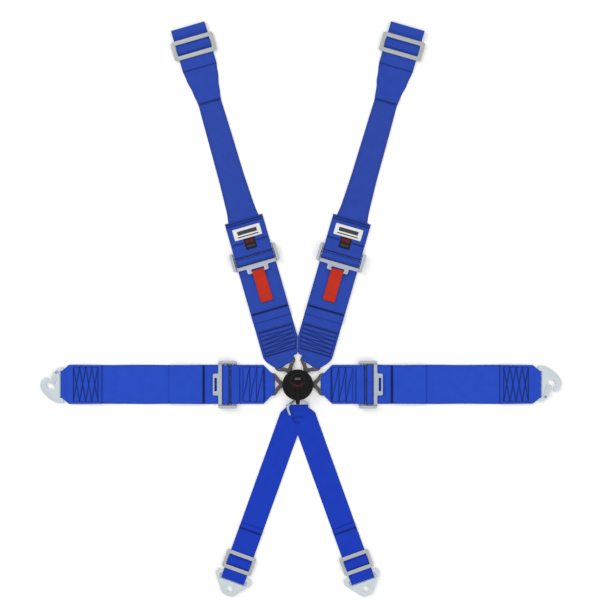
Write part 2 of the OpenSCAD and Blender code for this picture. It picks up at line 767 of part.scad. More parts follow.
function leg_path() = concat(
  [[leg_fold_s + 0.9, layer_1]],
  slide_pass(leg_slide_s, slide_rise_low, layer_1),
  [for (p = arc([leg_bar_s, bar_z], bar_turn_r, -90, 90)) p],
  [[leg_bar_s - 3, bar_z + bar_turn_r - 0.5], [leg_bar_s - 16, layer_2]],
  slide_pass(leg_slide_s, slide_rise_high, layer_2, -1),
  [for (p = hem(-262, 1, 11)) [-p.x, p.y]]
);

module sub_leg_strap(side) {
  color(web_blue) leg(side) strap(leg_path(), sub_web);
}

module sub_slide(side) {
  leg(side) translate([leg_slide_s, 0, 0]) slide(29.8, sub_web / 2 + 0.5, 7.3);
}

module sub_end_plate(side) {
  slot = sub_web / 2 + 0.6;
  slot_end = leg_end_s + 1.5;
  hole_s = leg_end_s + 15.5;
  nose = 13;
  color(steel) leg(side) {
    difference() {
      slab(plate_z, plate_t) polygon(rounded([
        [leg_bar_s - 12, -35, 5], [leg_bar_s - 2, -37, 6],
        [hole_s + nose + 2, -10, nose], [hole_s + nose + 2, 10, nose],
        [leg_bar_s - 2, 37, 6], [leg_bar_s - 12, 35, 5], [leg_bar_s - 12, slot, 1],
        [slot_end, slot, 1], [slot_end, -slot, 1], [leg_bar_s - 12, -slot, 1]
      ]));
      translate([hole_s, 0, 0]) cylinder(r = 6.35, h = 20);
    }
    rod(leg_bar_s, bar_z, bar_r, slot + 4);
  }
}

housing_base();
housing_top();
housing_screws();
pivot_post();
cam_plate();
return_spring();
latch_pins();
pin_springs();
knob_disc();
knob_lever();
knob_badge();
knob_screw();
tongue(180);  // lap_tongue_left
tongue(0);  // lap_tongue_right
tongue(90 + shoulder_tongue_lean);  // shoulder_tongue_left
tongue(90 - shoulder_tongue_lean);  // shoulder_tongue_right
sub_tongue();
lap_inner_strap(left);  // lap_inner_strap_left
lap_inner_strap(right);  // lap_inner_strap_right
lap_adjuster(left);  // lap_adjuster_left
lap_adjuster(right);  // lap_adjuster_right
lap_grip_bar(left);  // lap_grip_bar_left
lap_grip_bar(right);  // lap_grip_bar_right
lap_outer_strap(left);  // lap_outer_strap_left
lap_outer_strap(right);  // lap_outer_strap_right
lap_hook(left);  // lap_hook_left
lap_hook(right);  // lap_hook_right
lap_gate(left);  // lap_gate_left
lap_gate(right);  // lap_gate_right
lap_gate_rivet(left);  // lap_gate_rivet_left
lap_gate_rivet(right);  // lap_gate_rivet_right
shoulder_root_strap(left);  // shoulder_root_strap_left
shoulder_root_strap(right);  // shoulder_root_strap_right
shoulder_lower_strap(left);  // shoulder_lower_strap_left
shoulder_lower_strap(right);  // shoulder_lower_strap_right
shoulder_grip_bar(left);  // shoulder_grip_bar_left
shoulder_grip_bar(right);  // shoulder_grip_bar_right
shoulder_adjuster(left);  // shoulder_adjuster_left
shoulder_adjuster(right);  // shoulder_adjuster_right
pull_tab(left);  // pull_tab_left
pull_tab(right);  // pull_tab_right
label_strap(left);  // label_strap_left
label_strap(right);  // label_strap_right
blank_label(left);  // blank_label_left
blank_label(right);  // blank_label_right
woven_tag(left);  // woven_tag_left
woven_tag(right);  // woven_tag_right
narrow_belt(left);  // narrow_belt_left
narrow_belt(right);  // narrow_belt_right
wrap_strap(left);  // wrap_strap_left
wrap_strap(right);  // wrap_strap_right
shoulder_slide(left);  // shoulder_slide_left
shoulder_slide(right);  // shoulder_slide_right
sub_apex_strap();
sub_leg_strap(left);  // sub_leg_strap_left
sub_leg_strap(right);  // sub_leg_strap_right
sub_slide(left);  // sub_slide_left
sub_slide(right);  // sub_slide_right
sub_end_plate(left);  // sub_end_plate_left
sub_end_plate(right);  // sub_end_plate_right
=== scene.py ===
"""Six-point racing harness laid flat: the looks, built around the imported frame.

Pieces are drawn in millimetres in the frame of their own belt, then placed in metres.
"""
import json
import math
import random

import bmesh
import bpy
import numpy as np
from mathutils import Matrix, Vector


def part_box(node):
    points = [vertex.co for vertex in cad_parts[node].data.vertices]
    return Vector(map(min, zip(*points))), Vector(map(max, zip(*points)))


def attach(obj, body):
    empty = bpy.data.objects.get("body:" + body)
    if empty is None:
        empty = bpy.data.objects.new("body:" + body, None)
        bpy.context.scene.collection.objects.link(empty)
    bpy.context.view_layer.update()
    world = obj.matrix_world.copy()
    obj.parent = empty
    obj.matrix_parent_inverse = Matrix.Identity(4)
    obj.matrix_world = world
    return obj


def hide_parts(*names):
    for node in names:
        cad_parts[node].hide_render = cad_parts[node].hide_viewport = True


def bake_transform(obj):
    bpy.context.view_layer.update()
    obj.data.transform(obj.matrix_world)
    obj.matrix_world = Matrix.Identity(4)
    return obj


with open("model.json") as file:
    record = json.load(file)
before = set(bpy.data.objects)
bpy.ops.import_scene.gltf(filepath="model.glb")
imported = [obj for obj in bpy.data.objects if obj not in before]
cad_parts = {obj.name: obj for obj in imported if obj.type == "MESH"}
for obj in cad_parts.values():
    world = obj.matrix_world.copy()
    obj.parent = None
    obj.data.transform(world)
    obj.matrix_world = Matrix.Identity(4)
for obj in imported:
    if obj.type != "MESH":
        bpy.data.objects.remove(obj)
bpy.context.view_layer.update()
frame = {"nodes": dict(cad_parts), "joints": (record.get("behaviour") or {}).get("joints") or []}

MM = 0.001
JOINTS = {j["name"]: j for j in frame["joints"]}
SIDES = {"left": -1, "right": 1}


# ---- Places taken from the frame, in millimetres ----

def joint_at(name):
    return Vector(JOINTS[name]["pos_m"]) / MM


def node_box(name):
    low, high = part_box(name)
    return Vector(low) / MM, Vector(high) / MM


WEB_T = 1.5
LAYER_GAP = 0.1
FLOOR_GAP = node_box("lap_inner_strap_right")[0].z
LAYER_1 = FLOOR_GAP + WEB_T / 2
LAYER_2 = LAYER_1 + WEB_T + LAYER_GAP
LAYER_3 = LAYER_2 + WEB_T + LAYER_GAP
TOP_1, TOP_2, TOP_3 = LAYER_1 + WEB_T / 2, LAYER_2 + WEB_T / 2, LAYER_3 + WEB_T / 2
WIDE_HALF = (node_box("lap_inner_strap_right")[1].y - node_box("lap_inner_strap_right")[0].y) / 2
SUB_HALF = 23.3
FOLD_HALF = 17.2

BAR_R = 1.5
BAR_Z = joint_at("lap_right_strap_lift").z
BAR_TURN = BAR_Z - LAYER_1
BAR_REACH = BAR_TURN + WEB_T / 2
PLATE_T = 3
PLATE_LOW = BAR_Z - PLATE_T / 2
LAP_BAR = joint_at("lap_right_strap_lift").x
LAP_REAR = joint_at("lap_right_adjuster_tilt").x
LAP_GRIP = joint_at("lap_right_outer_drop").x
HOOK_BAR = -joint_at("lap_left_hook_swing").x
GATE_PIVOT = -joint_at("lap_left_gate_turn").xy
GRIP_Z = joint_at("lap_right_outer_drop").z
REAR_Z = joint_at("lap_right_adjuster_tilt").z
GRIP_U = 15.0
REAR_U = GRIP_U + LAP_GRIP - LAP_REAR
LAP_FRONT = LAP_GRIP + GRIP_U
GRIP_TURN = GRIP_Z - LAYER_1
REAR_TURN = REAR_Z - LAYER_1

FOLD_S = 92.9
BELT_AXIS = (joint_at("shoulder_right_adjuster_tilt") - joint_at("shoulder_right_fold")).xy.normalized()
BELT_ANGLE = math.atan2(BELT_AXIS.y, BELT_AXIS.x)
BELT_ROOT = joint_at("shoulder_right_fold").xy - FOLD_S * BELT_AXIS


def along_belt(name):
    return (joint_at(name).xy - BELT_ROOT).dot(BELT_AXIS)


SHOULDER_GRIP = along_belt("shoulder_right_adjuster_tilt")
SHOULDER_FRONT = SHOULDER_GRIP - GRIP_U
SHOULDER_REAR = along_belt("shoulder_right_upper_lift")
TAB_ROD_S = along_belt("shoulder_right_tab_lift")
TAB_ROD_Z = joint_at("shoulder_right_tab_lift").z
LABEL_END = along_belt("shoulder_right_bend") - 1.3

LEG_FOLD_S = 96.0
LEG_AXIS = (joint_at("sub_right_plate_swing") - joint_at("sub_right_leg_lift")).xy.normalized()
LEG_ANGLE = math.atan2(LEG_AXIS.y, LEG_AXIS.x)
LEG_ROOT = joint_at("sub_right_leg_lift").xy - LEG_FOLD_S * LEG_AXIS
LEG_BAR = (joint_at("sub_right_plate_swing").xy - LEG_ROOT).dot(LEG_AXIS)
SUB_BAR_Y = joint_at("sub_strap_drop").y

KNOB_LOW, KNOB_HIGH = node_box("knob_disc")


# ---- Frames of the belts ----

def placed(origin, angle, side=1, turn=False):
    """Matrix from a belt's own millimetres to metres; side -1 is the mirror image, or a half turn."""
    m = Matrix.Translation((origin[0], origin[1], 0)) @ Matrix.Rotation(angle, 4, "Z")
    if side < 0:
        m = (Matrix.Rotation(math.pi, 4, "Z") if turn else Matrix.Diagonal((-1, 1, 1, 1))) @ m
    return Matrix.Diagonal((MM, MM, MM, 1)) @ m


def moved(matrix, x, y=0, z=0):
    return matrix @ Matrix.Translation((x, y, z))


BUCKLE_FRAME = placed((0, 0), 0)


# ---- Small geometry ----

def share(x, start, end):
    """How far x is from start to end, held between 0 and 1."""
    return min(max((x - start) / (end - start), 0.0), 1.0)


def ramp(x, start, end):
    """The same, with a soft start and end."""
    k = share(x, start, end)
    return k * k * (3 - 2 * k)


def hill(x, rise, full, fall, end):
    """0 up to rise, 1 from full to fall, and 0 again after end."""
    return ramp(x, rise, full) * (1 - ramp(x, fall, end))


def arc(centre, r, start, end, steps=14):
    """Points on a circle, angles in degrees."""
    angles = [math.radians(start + (end - start) * i / steps) for i in range(steps + 1)]
    return [(centre[0] + r * math.cos(a), centre[1] + r * math.sin(a)) for a in angles]


def round_corner(a, b, c, r):
    a, b, c = Vector(a), Vector(b), Vector(c)
    u, v = (a - b).normalized(), (c - b).normalized()
    half = math.acos(max(-1, min(1, u.dot(v)))) / 2
    centre = b + (u + v).normalized() * r / math.sin(half)
    p, q = b + u * r / math.tan(half) - centre, b + v * r / math.tan(half) - centre
    turn = math.pi - 2 * half
    steps = max(2, math.ceil(math.degrees(turn) / 9))
    points = []
    for i in range(steps + 1):
        k = i / steps
        points.append(centre + (math.sin(turn * (1 - k)) * p + math.sin(turn * k) * q) / math.sin(turn))
    return [(p.x, p.y) for p in points]


def rounded(corners):
    """Outline through corners given as (x, y, radius)."""
    out = []
    for i, (x, y, r) in enumerate(corners):
        before, after = corners[i - 1], corners[(i + 1) % len(corners)]
        out += round_corner(before[:2], (x, y), after[:2], r)
    return out


def rounded_box(x0, x1, half, r):
    return rounded([(x0, -half, r), (x1, -half, r), (x1, half, r), (x0, half, r)])


def both_sides(corners):
    """Adds the mirror image across the belt, so that the outline closes."""
    return corners + [(x, -y, r) for x, y, r in reversed(corners)]


def both_ends(tip, middle=()):
    """Profile of a rod from the (radius, y) points of its tip, with any rings between its two ends."""
    return [(r, -y) for r, y in tip] + list(middle) + [(r, y) for r, y in reversed(tip)]


def shift(points, dx=0.0, dy=0.0, dir=1):
    return [(dx + dir * x, dy + y) for x, y in points]


# ---- Making pieces; a look is a material and the name of its slot ----

def hang(body, pieces, *nodes):
    """Puts pieces on a body; the first one takes the place of the given CAD nodes."""
    for o in pieces:
        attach(o, body)
    if nodes:
        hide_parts(*nodes)


def piece(name, verts, faces, matrix, look, angle, strap=None, bevel=0.0, segments=2):
    """A mesh from the belt's own millimetres, placed in metres, with sharp edges kept sharp."""
    me = bpy.data.meshes.new(name)
    me.from_pydata([tuple(v) for v in verts], [], faces)
    if strap is not None:
        layer = me.attributes.new("strap", "FLOAT_VECTOR", "POINT")
        layer.data.foreach_set("vector", np.asarray(strap, dtype=np.float32).ravel())
    return finish_mesh(name, me, matrix, look, angle, bevel, segments)


def finish_mesh(name, me, matrix, look, angle, bevel=0.0, segments=2):
    bm = bmesh.new()
    bm.from_mesh(me)
    bmesh.ops.remove_doubles(bm, verts=bm.verts, dist=1e-4)
    bmesh.ops.recalc_face_normals(bm, faces=bm.faces)
    if bevel > 0:
        bevel_edges(bm, bevel, angle, segments, 0.6)
    bm.transform(matrix)
    if matrix.determinant() < 0:
        bmesh.ops.reverse_faces(bm, faces=bm.faces)
    bm.to_mesh(me)
    bm.free()
    me.shade_smooth()
    me.set_sharp_from_angle(angle=math.radians(angle))
    o = bpy.data.objects.new(name, me)
    bpy.context.scene.collection.objects.link(o)
    material, slot = look
    me.materials.append(material)
    return o


def bevel_edges(bm, width, angle, segments, profile):
    edges = [e for e in bm.edges if len(e.link_faces) == 2 and e.calc_face_angle() > math.radians(angle)]
    bmesh.ops.bevel(bm, geom=edges, offset=width, segments=segments, profile=profile, affect="EDGES",
                    clamp_overlap=True)


def fill_outline(outlines):
    """Triangles that fill a plan outline and leave its holes open."""
    curve = bpy.data.curves.new("plan", "CURVE")
    curve.dimensions = "2D"
    curve.fill_mode = "FRONT"
    for outline in outlines:
        spline = curve.splines.new("POLY")
        spline.points.add(len(outline) - 1)
        for point, (x, y) in zip(spline.points, outline):
            point.co = (x, y, 0, 1)
        spline.use_cyclic_u = True
    o = bpy.data.objects.new("plan", curve)
    me = bpy.data.meshes.new_from_object(o)
    bpy.data.objects.remove(o)
    bpy.data.curves.remove(curve)
    return me


def plate(name, outlines, low, thick, matrix, look, bevel=0.8, segments=3, bend=None, cuts=(), cuts_u=()):
    """A sheet-metal piece: outline with holes, given a thickness and rounded edges.

    bend moves its points, after cuts across it that let it bend.
    """
    me = fill_outline(outlines)
    bm = bmesh.new()
    bm.from_mesh(me)
    bmesh.ops.remove_doubles(bm, verts=bm.verts, dist=1e-4)
    bmesh.ops.dissolve_limit(bm, angle_limit=0.01, verts=bm.verts, edges=bm.edges)
    solid = bmesh.ops.extrude_face_region(bm, geom=list(bm.faces))
    raised = [v for v in solid["geom"] if isinstance(v, bmesh.types.BMVert)]
    bmesh.ops.translate(bm, verts=raised, vec=(0, 0, thick))
    bmesh.ops.recalc_face_normals(bm, faces=bm.faces)
    bevel_edges(bm, bevel, 50, segments, 0.5)
    for v in bm.verts:
        v.co.z += low
    if bend:
        bmesh.ops.triangulate(bm, faces=[f for f in bm.faces if len(f.verts) > 4])
        for normal, places in ((Vector((0, 1, 0)), cuts), (Vector((1, 0, 0)), cuts_u)):
            for k in places:
                bmesh.ops.bisect_plane(bm, geom=bm.verts[:] + bm.edges[:] + bm.faces[:], plane_co=normal * k,
                                       plane_no=normal)
        for v in bm.verts:
            v.co = bend(v.co)
    bm.to_mesh(me)
    bm.free()
    me.name = name
    return finish_mesh(name, me, matrix, look, angle=40)


def tube_faces(steps, n):
    """Faces between rings of n profile points, all the way round."""
    rounds = [(i * n, (i + 1) % steps * n) for i in range(steps)]
    return [(a + j, b + j, b + j + 1, a + j + 1) for a, b in rounds for j in range(n - 1)]


def lathe(name, profile, matrix, look, steps=96):
    """A piece turned about the Z axis from (radius, height) points."""
    verts = []
    for i in range(steps):
        a = 2 * math.pi * i / steps
        verts += [(r * math.cos(a), r * math.sin(a), z) for r, z in profile]
    return piece(name, verts, tube_faces(steps, len(profile)), matrix, look, angle=30)


def cross_rod(name, x, z, profile, matrix, look, steps=24, knurl=0.0):
    """A round bar across the belt from (radius, y) points; knurl cuts a diamond pattern into it."""
    verts = []
    n = len(profile)
    for i in range(steps):
        a = 2 * math.pi * i / steps
        for j, (r, y) in enumerate(profile):
            cut = knurl * ((i + j) % 2) if 2 < j < n - 3 else 0
            verts.append((x + (r - cut) * math.cos(a), y, z + (r - cut) * math.sin(a)))
    return piece(name, verts, tube_faces(steps, n), matrix, look, angle=50)


def pin_bar(name, x, matrix):
    """The bar of a hook or end plate that the webbing loops round."""
    profile = both_ends([(0.01, 30), (BAR_R, 30)])
    return cross_rod(name, x, BAR_Z, profile, matrix, HOOK_STEEL)


def sweep(name, points, widths, thick, matrix, look):
    """A flat bar that follows 3-D points, lying level, with a width at each point."""
    verts, faces = [], []
    pts = [Vector(p) for p in points]
    last = len(pts) - 1
    for i, p in enumerate(pts):
        d = pts[min(i + 1, last)] - pts[max(i - 1, 0)]
        side = Vector((-d.y, d.x, 0)).normalized() * widths[i] / 2
        up = d.cross(side).normalized() * thick / 2
        up = -up if up.z < 0 else up
        verts += [p - side - up, p + side - up, p + side + up, p - side + up]
    for i in range(0, 4 * last, 4):
        faces += [(i + j, i + (j + 1) % 4, i + 4 + (j + 1) % 4, i + 4 + j) for j in range(4)]
    end = 4 * last
    faces += [(3, 2, 1, 0), (end, end + 1, end + 2, end + 3)]
    return piece(name, verts, faces, matrix, look, bevel=0.7, angle=50, segments=3)


# ---- Webbing ----

SEWN_STEP = 1.1
SELVAGE = 0.035
# Painted shade along the rounded edges of the webbing.
SELVAGE_SHADE = 0.5
# Ends: darker as a heat-sealed cut end, plus painted shade at the step.
CUT_SEAL_AND_SHADE = 0.8
FULLNESS = 1.13


def dense(path, step=3.0, sewn=None):
    """The same path with long straight stretches divided, more finely where it is sewn (from u, to u)."""
    out = [path[0]]
    for a, b in zip(path, path[1:]):
        n = max(1, math.ceil(math.dist(a, b) / step))
        out += [(a[0] + (b[0] - a[0]) * i / n, a[1] + (b[1] - a[1]) * i / n) for i in range(1, n + 1)]
    if sewn:
        low, high = sewn
        parts = [dense([a, b], SEWN_STEP)[1:] if low < (a[0] + b[0]) / 2 < high else [b]
                 for a, b in zip(out, out[1:])]
        out = out[:1] + [p for part in parts for p in part]
    return out


def ease(path):
    """Softens the corners of a side view, twice; its ends stay."""
    for _ in range(2):
        inner = [tuple((path[i - 1][k] + 2 * path[i][k] + path[i + 1][k]) / 4 for k in (0, 1))
                 for i in range(1, len(path) - 1)]
        path = [path[0]] + inner + [path[-1]]
    return path


def columns(n):
    """Places across the webbing from -1 to 1, close together at its two selvages."""
    inner = [(-1 + SELVAGE * 2) + (2 - SELVAGE * 4) * i / n for i in range(n + 1)]
    return [-1, -1 + SELVAGE * 0.25, -1 + SELVAGE * 0.8] + inner + [1 - SELVAGE * 0.8, 1 - SELVAGE * 0.25, 1]


def web(name, path, plan, matrix, look, half, t=WEB_T, cols=20, step=3.0, lift=None, painted_shade=None, sewn=None):
    """One length of webbing. path is its side view (u, z); plan turns (u, w) into its plan, w from -1 to 1.

    lift raises it and the next function darkens it, both by place; that darkening is painted shade in folds,
    beside bars, in creases and along the sewing.
    """
    path = dense(path, step, sewn)
    across = columns(cols)
    n = len(across)
    verts, coords, length = [], [], 0.0
    last = len(path) - 1
    for i, (u, z) in enumerate(path):
        a, b = path[max(i - 1, 0)], path[min(i + 1, last)]
        d = Vector((b[0] - a[0], b[1] - a[1])).normalized()
        normal = Vector((-d.y, d.x))
        if i:
            length += math.dist(path[i - 1], path[i])
        # The ends are thinner and darker: a heat-sealed cut end, with painted shade where the end steps down
        # onto the ply below.
        trim, cut_seal_and_shade = (0.55, CUT_SEAL_AND_SHADE) if i in (0, last) else (1.0, 0.0)
        top, bottom, dark = [], [], []
        for w in across:
            rim = max(0.0, (abs(w) - (1 - SELVAGE)) / SELVAGE)
            h = trim * t / 2 * math.sqrt(max(0.0, 1 - rim * rim))
            dz = lift(u, w) if lift else 0.0
            # Third strap value: painted shade at the rounded edges, heat-sealed darkening with painted shade
            # at the ends, and the painted shade given by place.
            dark.append(max(SELVAGE_SHADE * abs(w) ** 30, cut_seal_and_shade, painted_shade(u, w) if painted_shade else 0.0))
            for row, sign in ((top, 1), (bottom, -1)):
                x, y = plan(u + sign * h * normal.x, w)
                row.append((x, y, z + sign * h * normal.y + dz))
        verts += top + bottom[1:-1][::-1]
        row = [(length * MM, w * half * MM, d) for w, d in zip(across, dark)]
        coords += row + row[1:-1][::-1]
    ring = 2 * n - 2
    faces = []
    for i in range(0, last * ring, ring):
        faces += [(i + j, i + (j + 1) % ring, i + ring + (j + 1) % ring, i + ring + j) for j in range(ring)]
    for base in (0, last * ring):
        faces += [(base + j, base + j + 1, base + ring - 1 - j, base + (ring - j) % ring)
                  for j in range(1, n - 2)]
        faces += [(base, base + 1, base + ring - 1), (base + n - 2, base + n - 1, base + n)]
    return piece(name, verts, faces, matrix, look, strap=coords, angle=60)


def straight(half):
    """Plan of webbing with the same width all along, or with a width that is a function of u."""
    width = half if callable(half) else (lambda u: half)
    return lambda u, w: (u, w * width(u))


def bar_fold(x, span=12.0):
    """From layer 2 round a bar at x to layer 1."""
    start = [(span, LAYER_2), (span * 0.75, LAYER_2 + 0.4), (span * 0.3, BAR_Z + BAR_TURN - 0.5)]
    return shift(start + arc((0, BAR_Z), BAR_TURN, 90, 270), x)


def full_side(loop, centre):
    """The same loop, a little fuller on the side past its bar."""
    return [(centre + (x - centre) * (FULLNESS if x > centre else 1), z) for x, z in loop]


def grip_wrap(x, dir):
    """In along layer 1, over the grip bar, and out under the front bar on layer 2."""
    exit_run = [(8.85, 5.2), (8.4, 3.95), (7.4, 3.05), (6, 2.62), (4, LAYER_2)]
    roll = full_side(arc((GRIP_U, GRIP_Z), GRIP_TURN, -90, 180, 26), GRIP_U)
    return shift(roll + exit_run, x, 0, dir)


def rear_loop(x, steps, dir=1):
    """From layer 1 round the rear bar at x, past its top."""
    return shift(full_side(arc((0, REAR_Z), REAR_TURN, -90, 100, steps), 0), x, 0, dir)


def hem(x, length, dir=1):
    """A tail end folded back on top of itself."""
    turn = arc((-1.6, (LAYER_2 + LAYER_3) / 2), (LAYER_3 - LAYER_2) / 2, -90, 90, 8)
    return shift(turn + [(-length, LAYER_3)], x, 0, dir)


RISE_LOW = [(-13, 0), (-8.7, 0.05), (-6.1, 1.6), (-5.25, 3.7), (-4.4, 5.7), (-2.7, 6.4)]
RISE_HIGH = [(-14, 0), (-11.8, 0.05), (-9.3, 0.55), (-7.9, 1.9), (-7.2, 3.8), (-5.9, 5.8), (-2.7, 6.5)]


def slide_pass(x, rise, z, dir=1):
    """Over the middle bar of a slide at x."""
    return shift(rise + [(-u, h) for u, h in reversed(rise)], x, z, dir)


def soft_wave(seed, amplitude, length):
    """A slow, uneven height along and across a strap; the same strap always gets the same one."""
    rng = random.Random(seed)
    waves = [(rng.uniform(0.5, 1.4) / length, rng.uniform(-0.9, 0.9), rng.uniform(0, 2 * math.pi))
             for _ in range(4)]

    def height(u, w):
        total = sum(math.sin(2 * math.pi * (f * u + k * w * 0.35) + p) for f, k, p in waves)
        return amplitude * (1 + total / 4)
    return height


# ---- Sewing, along lines of (u, v) millimetres ----

SEWN_HALF = 33.0
PUCKER = 0.5
HEM_SEWN = 35.5
STITCH_GAP = 0.5
STITCH_RISE = [-0.75, -0.1, 0.25, 0.3, 0.25, -0.1, -0.75]
STITCH_SIDES = 6


def sew(name, lines, top, matrix, look, plan=lambda u, v: (u, v), lift=None, pitch=3.4, r=0.52):
    """Rows of thread; top is the height of the cloth under them."""
    verts, faces = [], []
    for line in lines:
        for p, q in stitches(line, pitch):
            add_stitch(verts, faces, p, q, r, top, plan, lift)
    return piece(name, verts, faces, matrix, look, angle=60)


def stitches(line, pitch):
    """Start and end of every stitch along a polyline; corners start a new stitch."""
    for a, b in zip(line, line[1:]):
        span = math.dist(a, b)
        count = max(1, round(span / pitch))
        gap = STITCH_GAP / 2 / span
        for i in range(count):
            yield [(a[0] + (b[0] - a[0]) * k, a[1] + (b[1] - a[1]) * k)
                   for k in (i / count + gap, (i + 1) / count - gap)]


def add_stitch(verts, faces, p, q, r, top, plan, lift):
    """A short arched thread from p to q."""
    start, last, n = len(verts), len(STITCH_RISE) - 1, STITCH_SIDES
    d = Vector((q[0] - p[0], q[1] - p[1])).normalized()
    for i, h in enumerate(STITCH_RISE):
        k = i / last
        u, v = p[0] + (q[0] - p[0]) * k, p[1] + (q[1] - p[1]) * k
        z = top + h * r + (lift(u, v) if lift else 0)
        thin = 0.6 if i in (0, last) else 1.0
        for j in range(n):
            a = 2 * math.pi * j / n
            side, up = thin * r * math.cos(a), thin * r * math.sin(a)
            x, y = plan(u - d.y * side, v + d.x * side)
            verts.append((x, y, z + up))
    for base in range(start, start + last * n, n):
        faces += [(base + j, base + (j + 1) % n, base + n + (j + 1) % n, base + n + j) for j in range(n)]
    faces.append(tuple(start + j for j in reversed(range(n))))
    faces.append(tuple(start + last * n + j for j in range(n)))


def by_width(function, half):
    """A web's function of (u, w), taken by (u, v) in millimetres instead."""
    return lambda u, v: function(u, v / half)


def across(places, half):
    """Straight rows across the strap."""
    return [[(u, -half), (u, half)] for u in places]


def box_line(u0, u1, half):
    return [(u0, -half), (u1, -half), (u1, half), (u0, half), (u0, -half)]


def sewn_field(u0, u1):
    """The two ends and the two sides of a sewn field."""
    v = SEWN_HALF
    return [[(u0, -v), (u0, v)], [(u1, v), (u1, -v)]], [[(u0, v), (u1, v)], [(u1, -v), (u0, -v)]]


def saw_teeth(start, pitch, count):
    """A row of sewing that runs straight across and slants back, again and again."""
    return [(start + pitch * i, sign * SEWN_HALF) for i in range(count) for sign in (1, -1)]


def wavy(line, seed):
    """The same line, sewn a little unevenly."""
    rng = random.Random(seed)
    sway, parts = 0.8, 4
    out = [line[0]]
    for (u0, v0), (u1, v1) in zip(line, line[1:]):
        for i in range(1, parts):
            out.append((u0 + (u1 - u0) * i / parts + rng.uniform(-sway, sway), v0 + (v1 - v0) * i / parts))
        out.append((u1, v1))
    return out


def nearness_1d(u, place, width):
    return math.exp(-((u - place) / width) ** 2)


def nearness(lines, width):
    """1 on a sewn or creased line, falling away to 0 beside it, by place in millimetres."""
    segments = [(Vector(a), Vector(b) - Vector(a)) for line in lines for a, b in zip(line, line[1:])]
    reach = 3 * width
    low = [min(min(a[k], a[k] + d[k]) for a, d in segments) - reach for k in (0, 1)]
    high = [max(max(a[k], a[k] + d[k]) for a, d in segments) + reach for k in (0, 1)]

    def near(u, v):
        if not (low[0] < u < high[0] and low[1] < v < high[1]):
            return 0.0
        p, gap = Vector((u, v)), reach
        for a, d in segments:
            k = min(max((p - a).dot(d) / d.length_squared, 0), 1)
            gap = min(gap, (p - a - k * d).length)
        return math.exp(-(gap / width) ** 2)
    return near


# ---- Materials ----

def new_material(name, colour, rough, metallic=0.0, **sockets):
    m = bpy.data.materials.new(name)
    m.use_nodes = True
    shader = m.node_tree.nodes["Principled BSDF"]
    shader.inputs["Base Color"].default_value = (*colour, 1)
    shader.inputs["Roughness"].default_value = rough
    shader.inputs["Metallic"].default_value = metallic
    for socket, value in sockets.items():
        shader.inputs[socket.replace("_", " ")].default_value = value
    return m


class Nodes:
    """Short ways to build a node tree."""

    def __init__(self, owner, shader="Principled BSDF"):
        self.tree = owner.node_tree
        self.shader = self.tree.nodes[shader]

    def add(self, kind, inputs=(), **props):
        node = self.tree.nodes.new(kind)
        for key, value in props.items():
            setattr(node, key, value)
        for slot, value in dict(inputs).items():
            self.put(node.inputs[slot], value)
        return node

    def put(self, socket, value):
        if isinstance(value, bpy.types.NodeSocket):
            self.tree.links.new(value, socket)
        else:
            socket.default_value = value

    def math(self, op, a, b=0.0):
        return self.add("ShaderNodeMath", {0: a, 1: b}, operation=op).outputs[0]

    def noise(self, vector, scale, detail=2.0):
        inputs = {"Vector": vector, "Scale": scale, "Detail": detail}
        return self.add("ShaderNodeTexNoise", inputs).outputs["Fac"]

    def position(self):
        return self.add("ShaderNodeTexCoord").outputs["Object"]

    def mix(self, fac, a, b):
        return self.add("ShaderNodeMix", {0: fac, 6: a, 7: b}, data_type="RGBA").outputs[2]

    def bump(self, height, strength, distance):
        node = self.add("ShaderNodeBump", {"Strength": strength, "Distance": distance, "Height": height})
        self.put(self.shader.inputs["Normal"], node.outputs["Normal"])


def woven(name, colour, dark, rib=1.7, pick=1.25):
    """Nylon webbing: ribs along it, picks across it, uneven dye, painted shade in the weave's grooves, and
    painted shade by the third strap value.
    """
    m = new_material(name, colour, 0.68, Sheen_Weight=0.04, Sheen_Roughness=0.45, Specular_IOR_Level=0.14)
    n = Nodes(m)
    place = n.add("ShaderNodeAttribute", attribute_name="strap").outputs["Vector"]
    axes = n.add("ShaderNodeSeparateXYZ", {0: place}).outputs
    across_ribs = n.math("MULTIPLY", axes[1], math.pi / (rib * MM))
    ribs = n.math("ABSOLUTE", n.math("SINE", across_ribs))
    step = n.math("MULTIPLY", n.math("SIGN", n.math("SINE", across_ribs)), math.pi / 2)
    along = n.math("MULTIPLY", axes[0], 2 * math.pi / (pick * MM))
    picks = n.math("SINE", n.math("ADD", along, step))
    weave = n.math("ADD", n.math("MULTIPLY", ribs, 0.6), n.math("MULTIPLY", picks, 0.22))
    cloudy = n.noise(n.position(), 55.0)
    drawn_out = n.add("ShaderNodeVectorMath", {0: place, 1: (60.0, 900.0, 1.0)}, operation="MULTIPLY")
    streaks = n.noise(drawn_out.outputs[0], 1.0)
    dye = n.math("MULTIPLY", n.math("ADD", cloudy, streaks), 0.45)
    tone = n.math("ADD", n.math("MULTIPLY", weave, 0.5), dye)
    # The grooves of the weave take the darker colour: painted shade, mixed with the uneven dye.
    cloth = n.mix(n.math("MINIMUM", tone, 1.0), (*dark, 1), (*colour, 1))
    # The third strap value mixes in a deep navy: painted shade.
    n.put(n.shader.inputs["Base Color"], n.mix(axes[2], cloth, (*[c * 0.22 for c in dark], 1)))
    n.bump(weave, 0.55, 0.25 * MM)
    return m


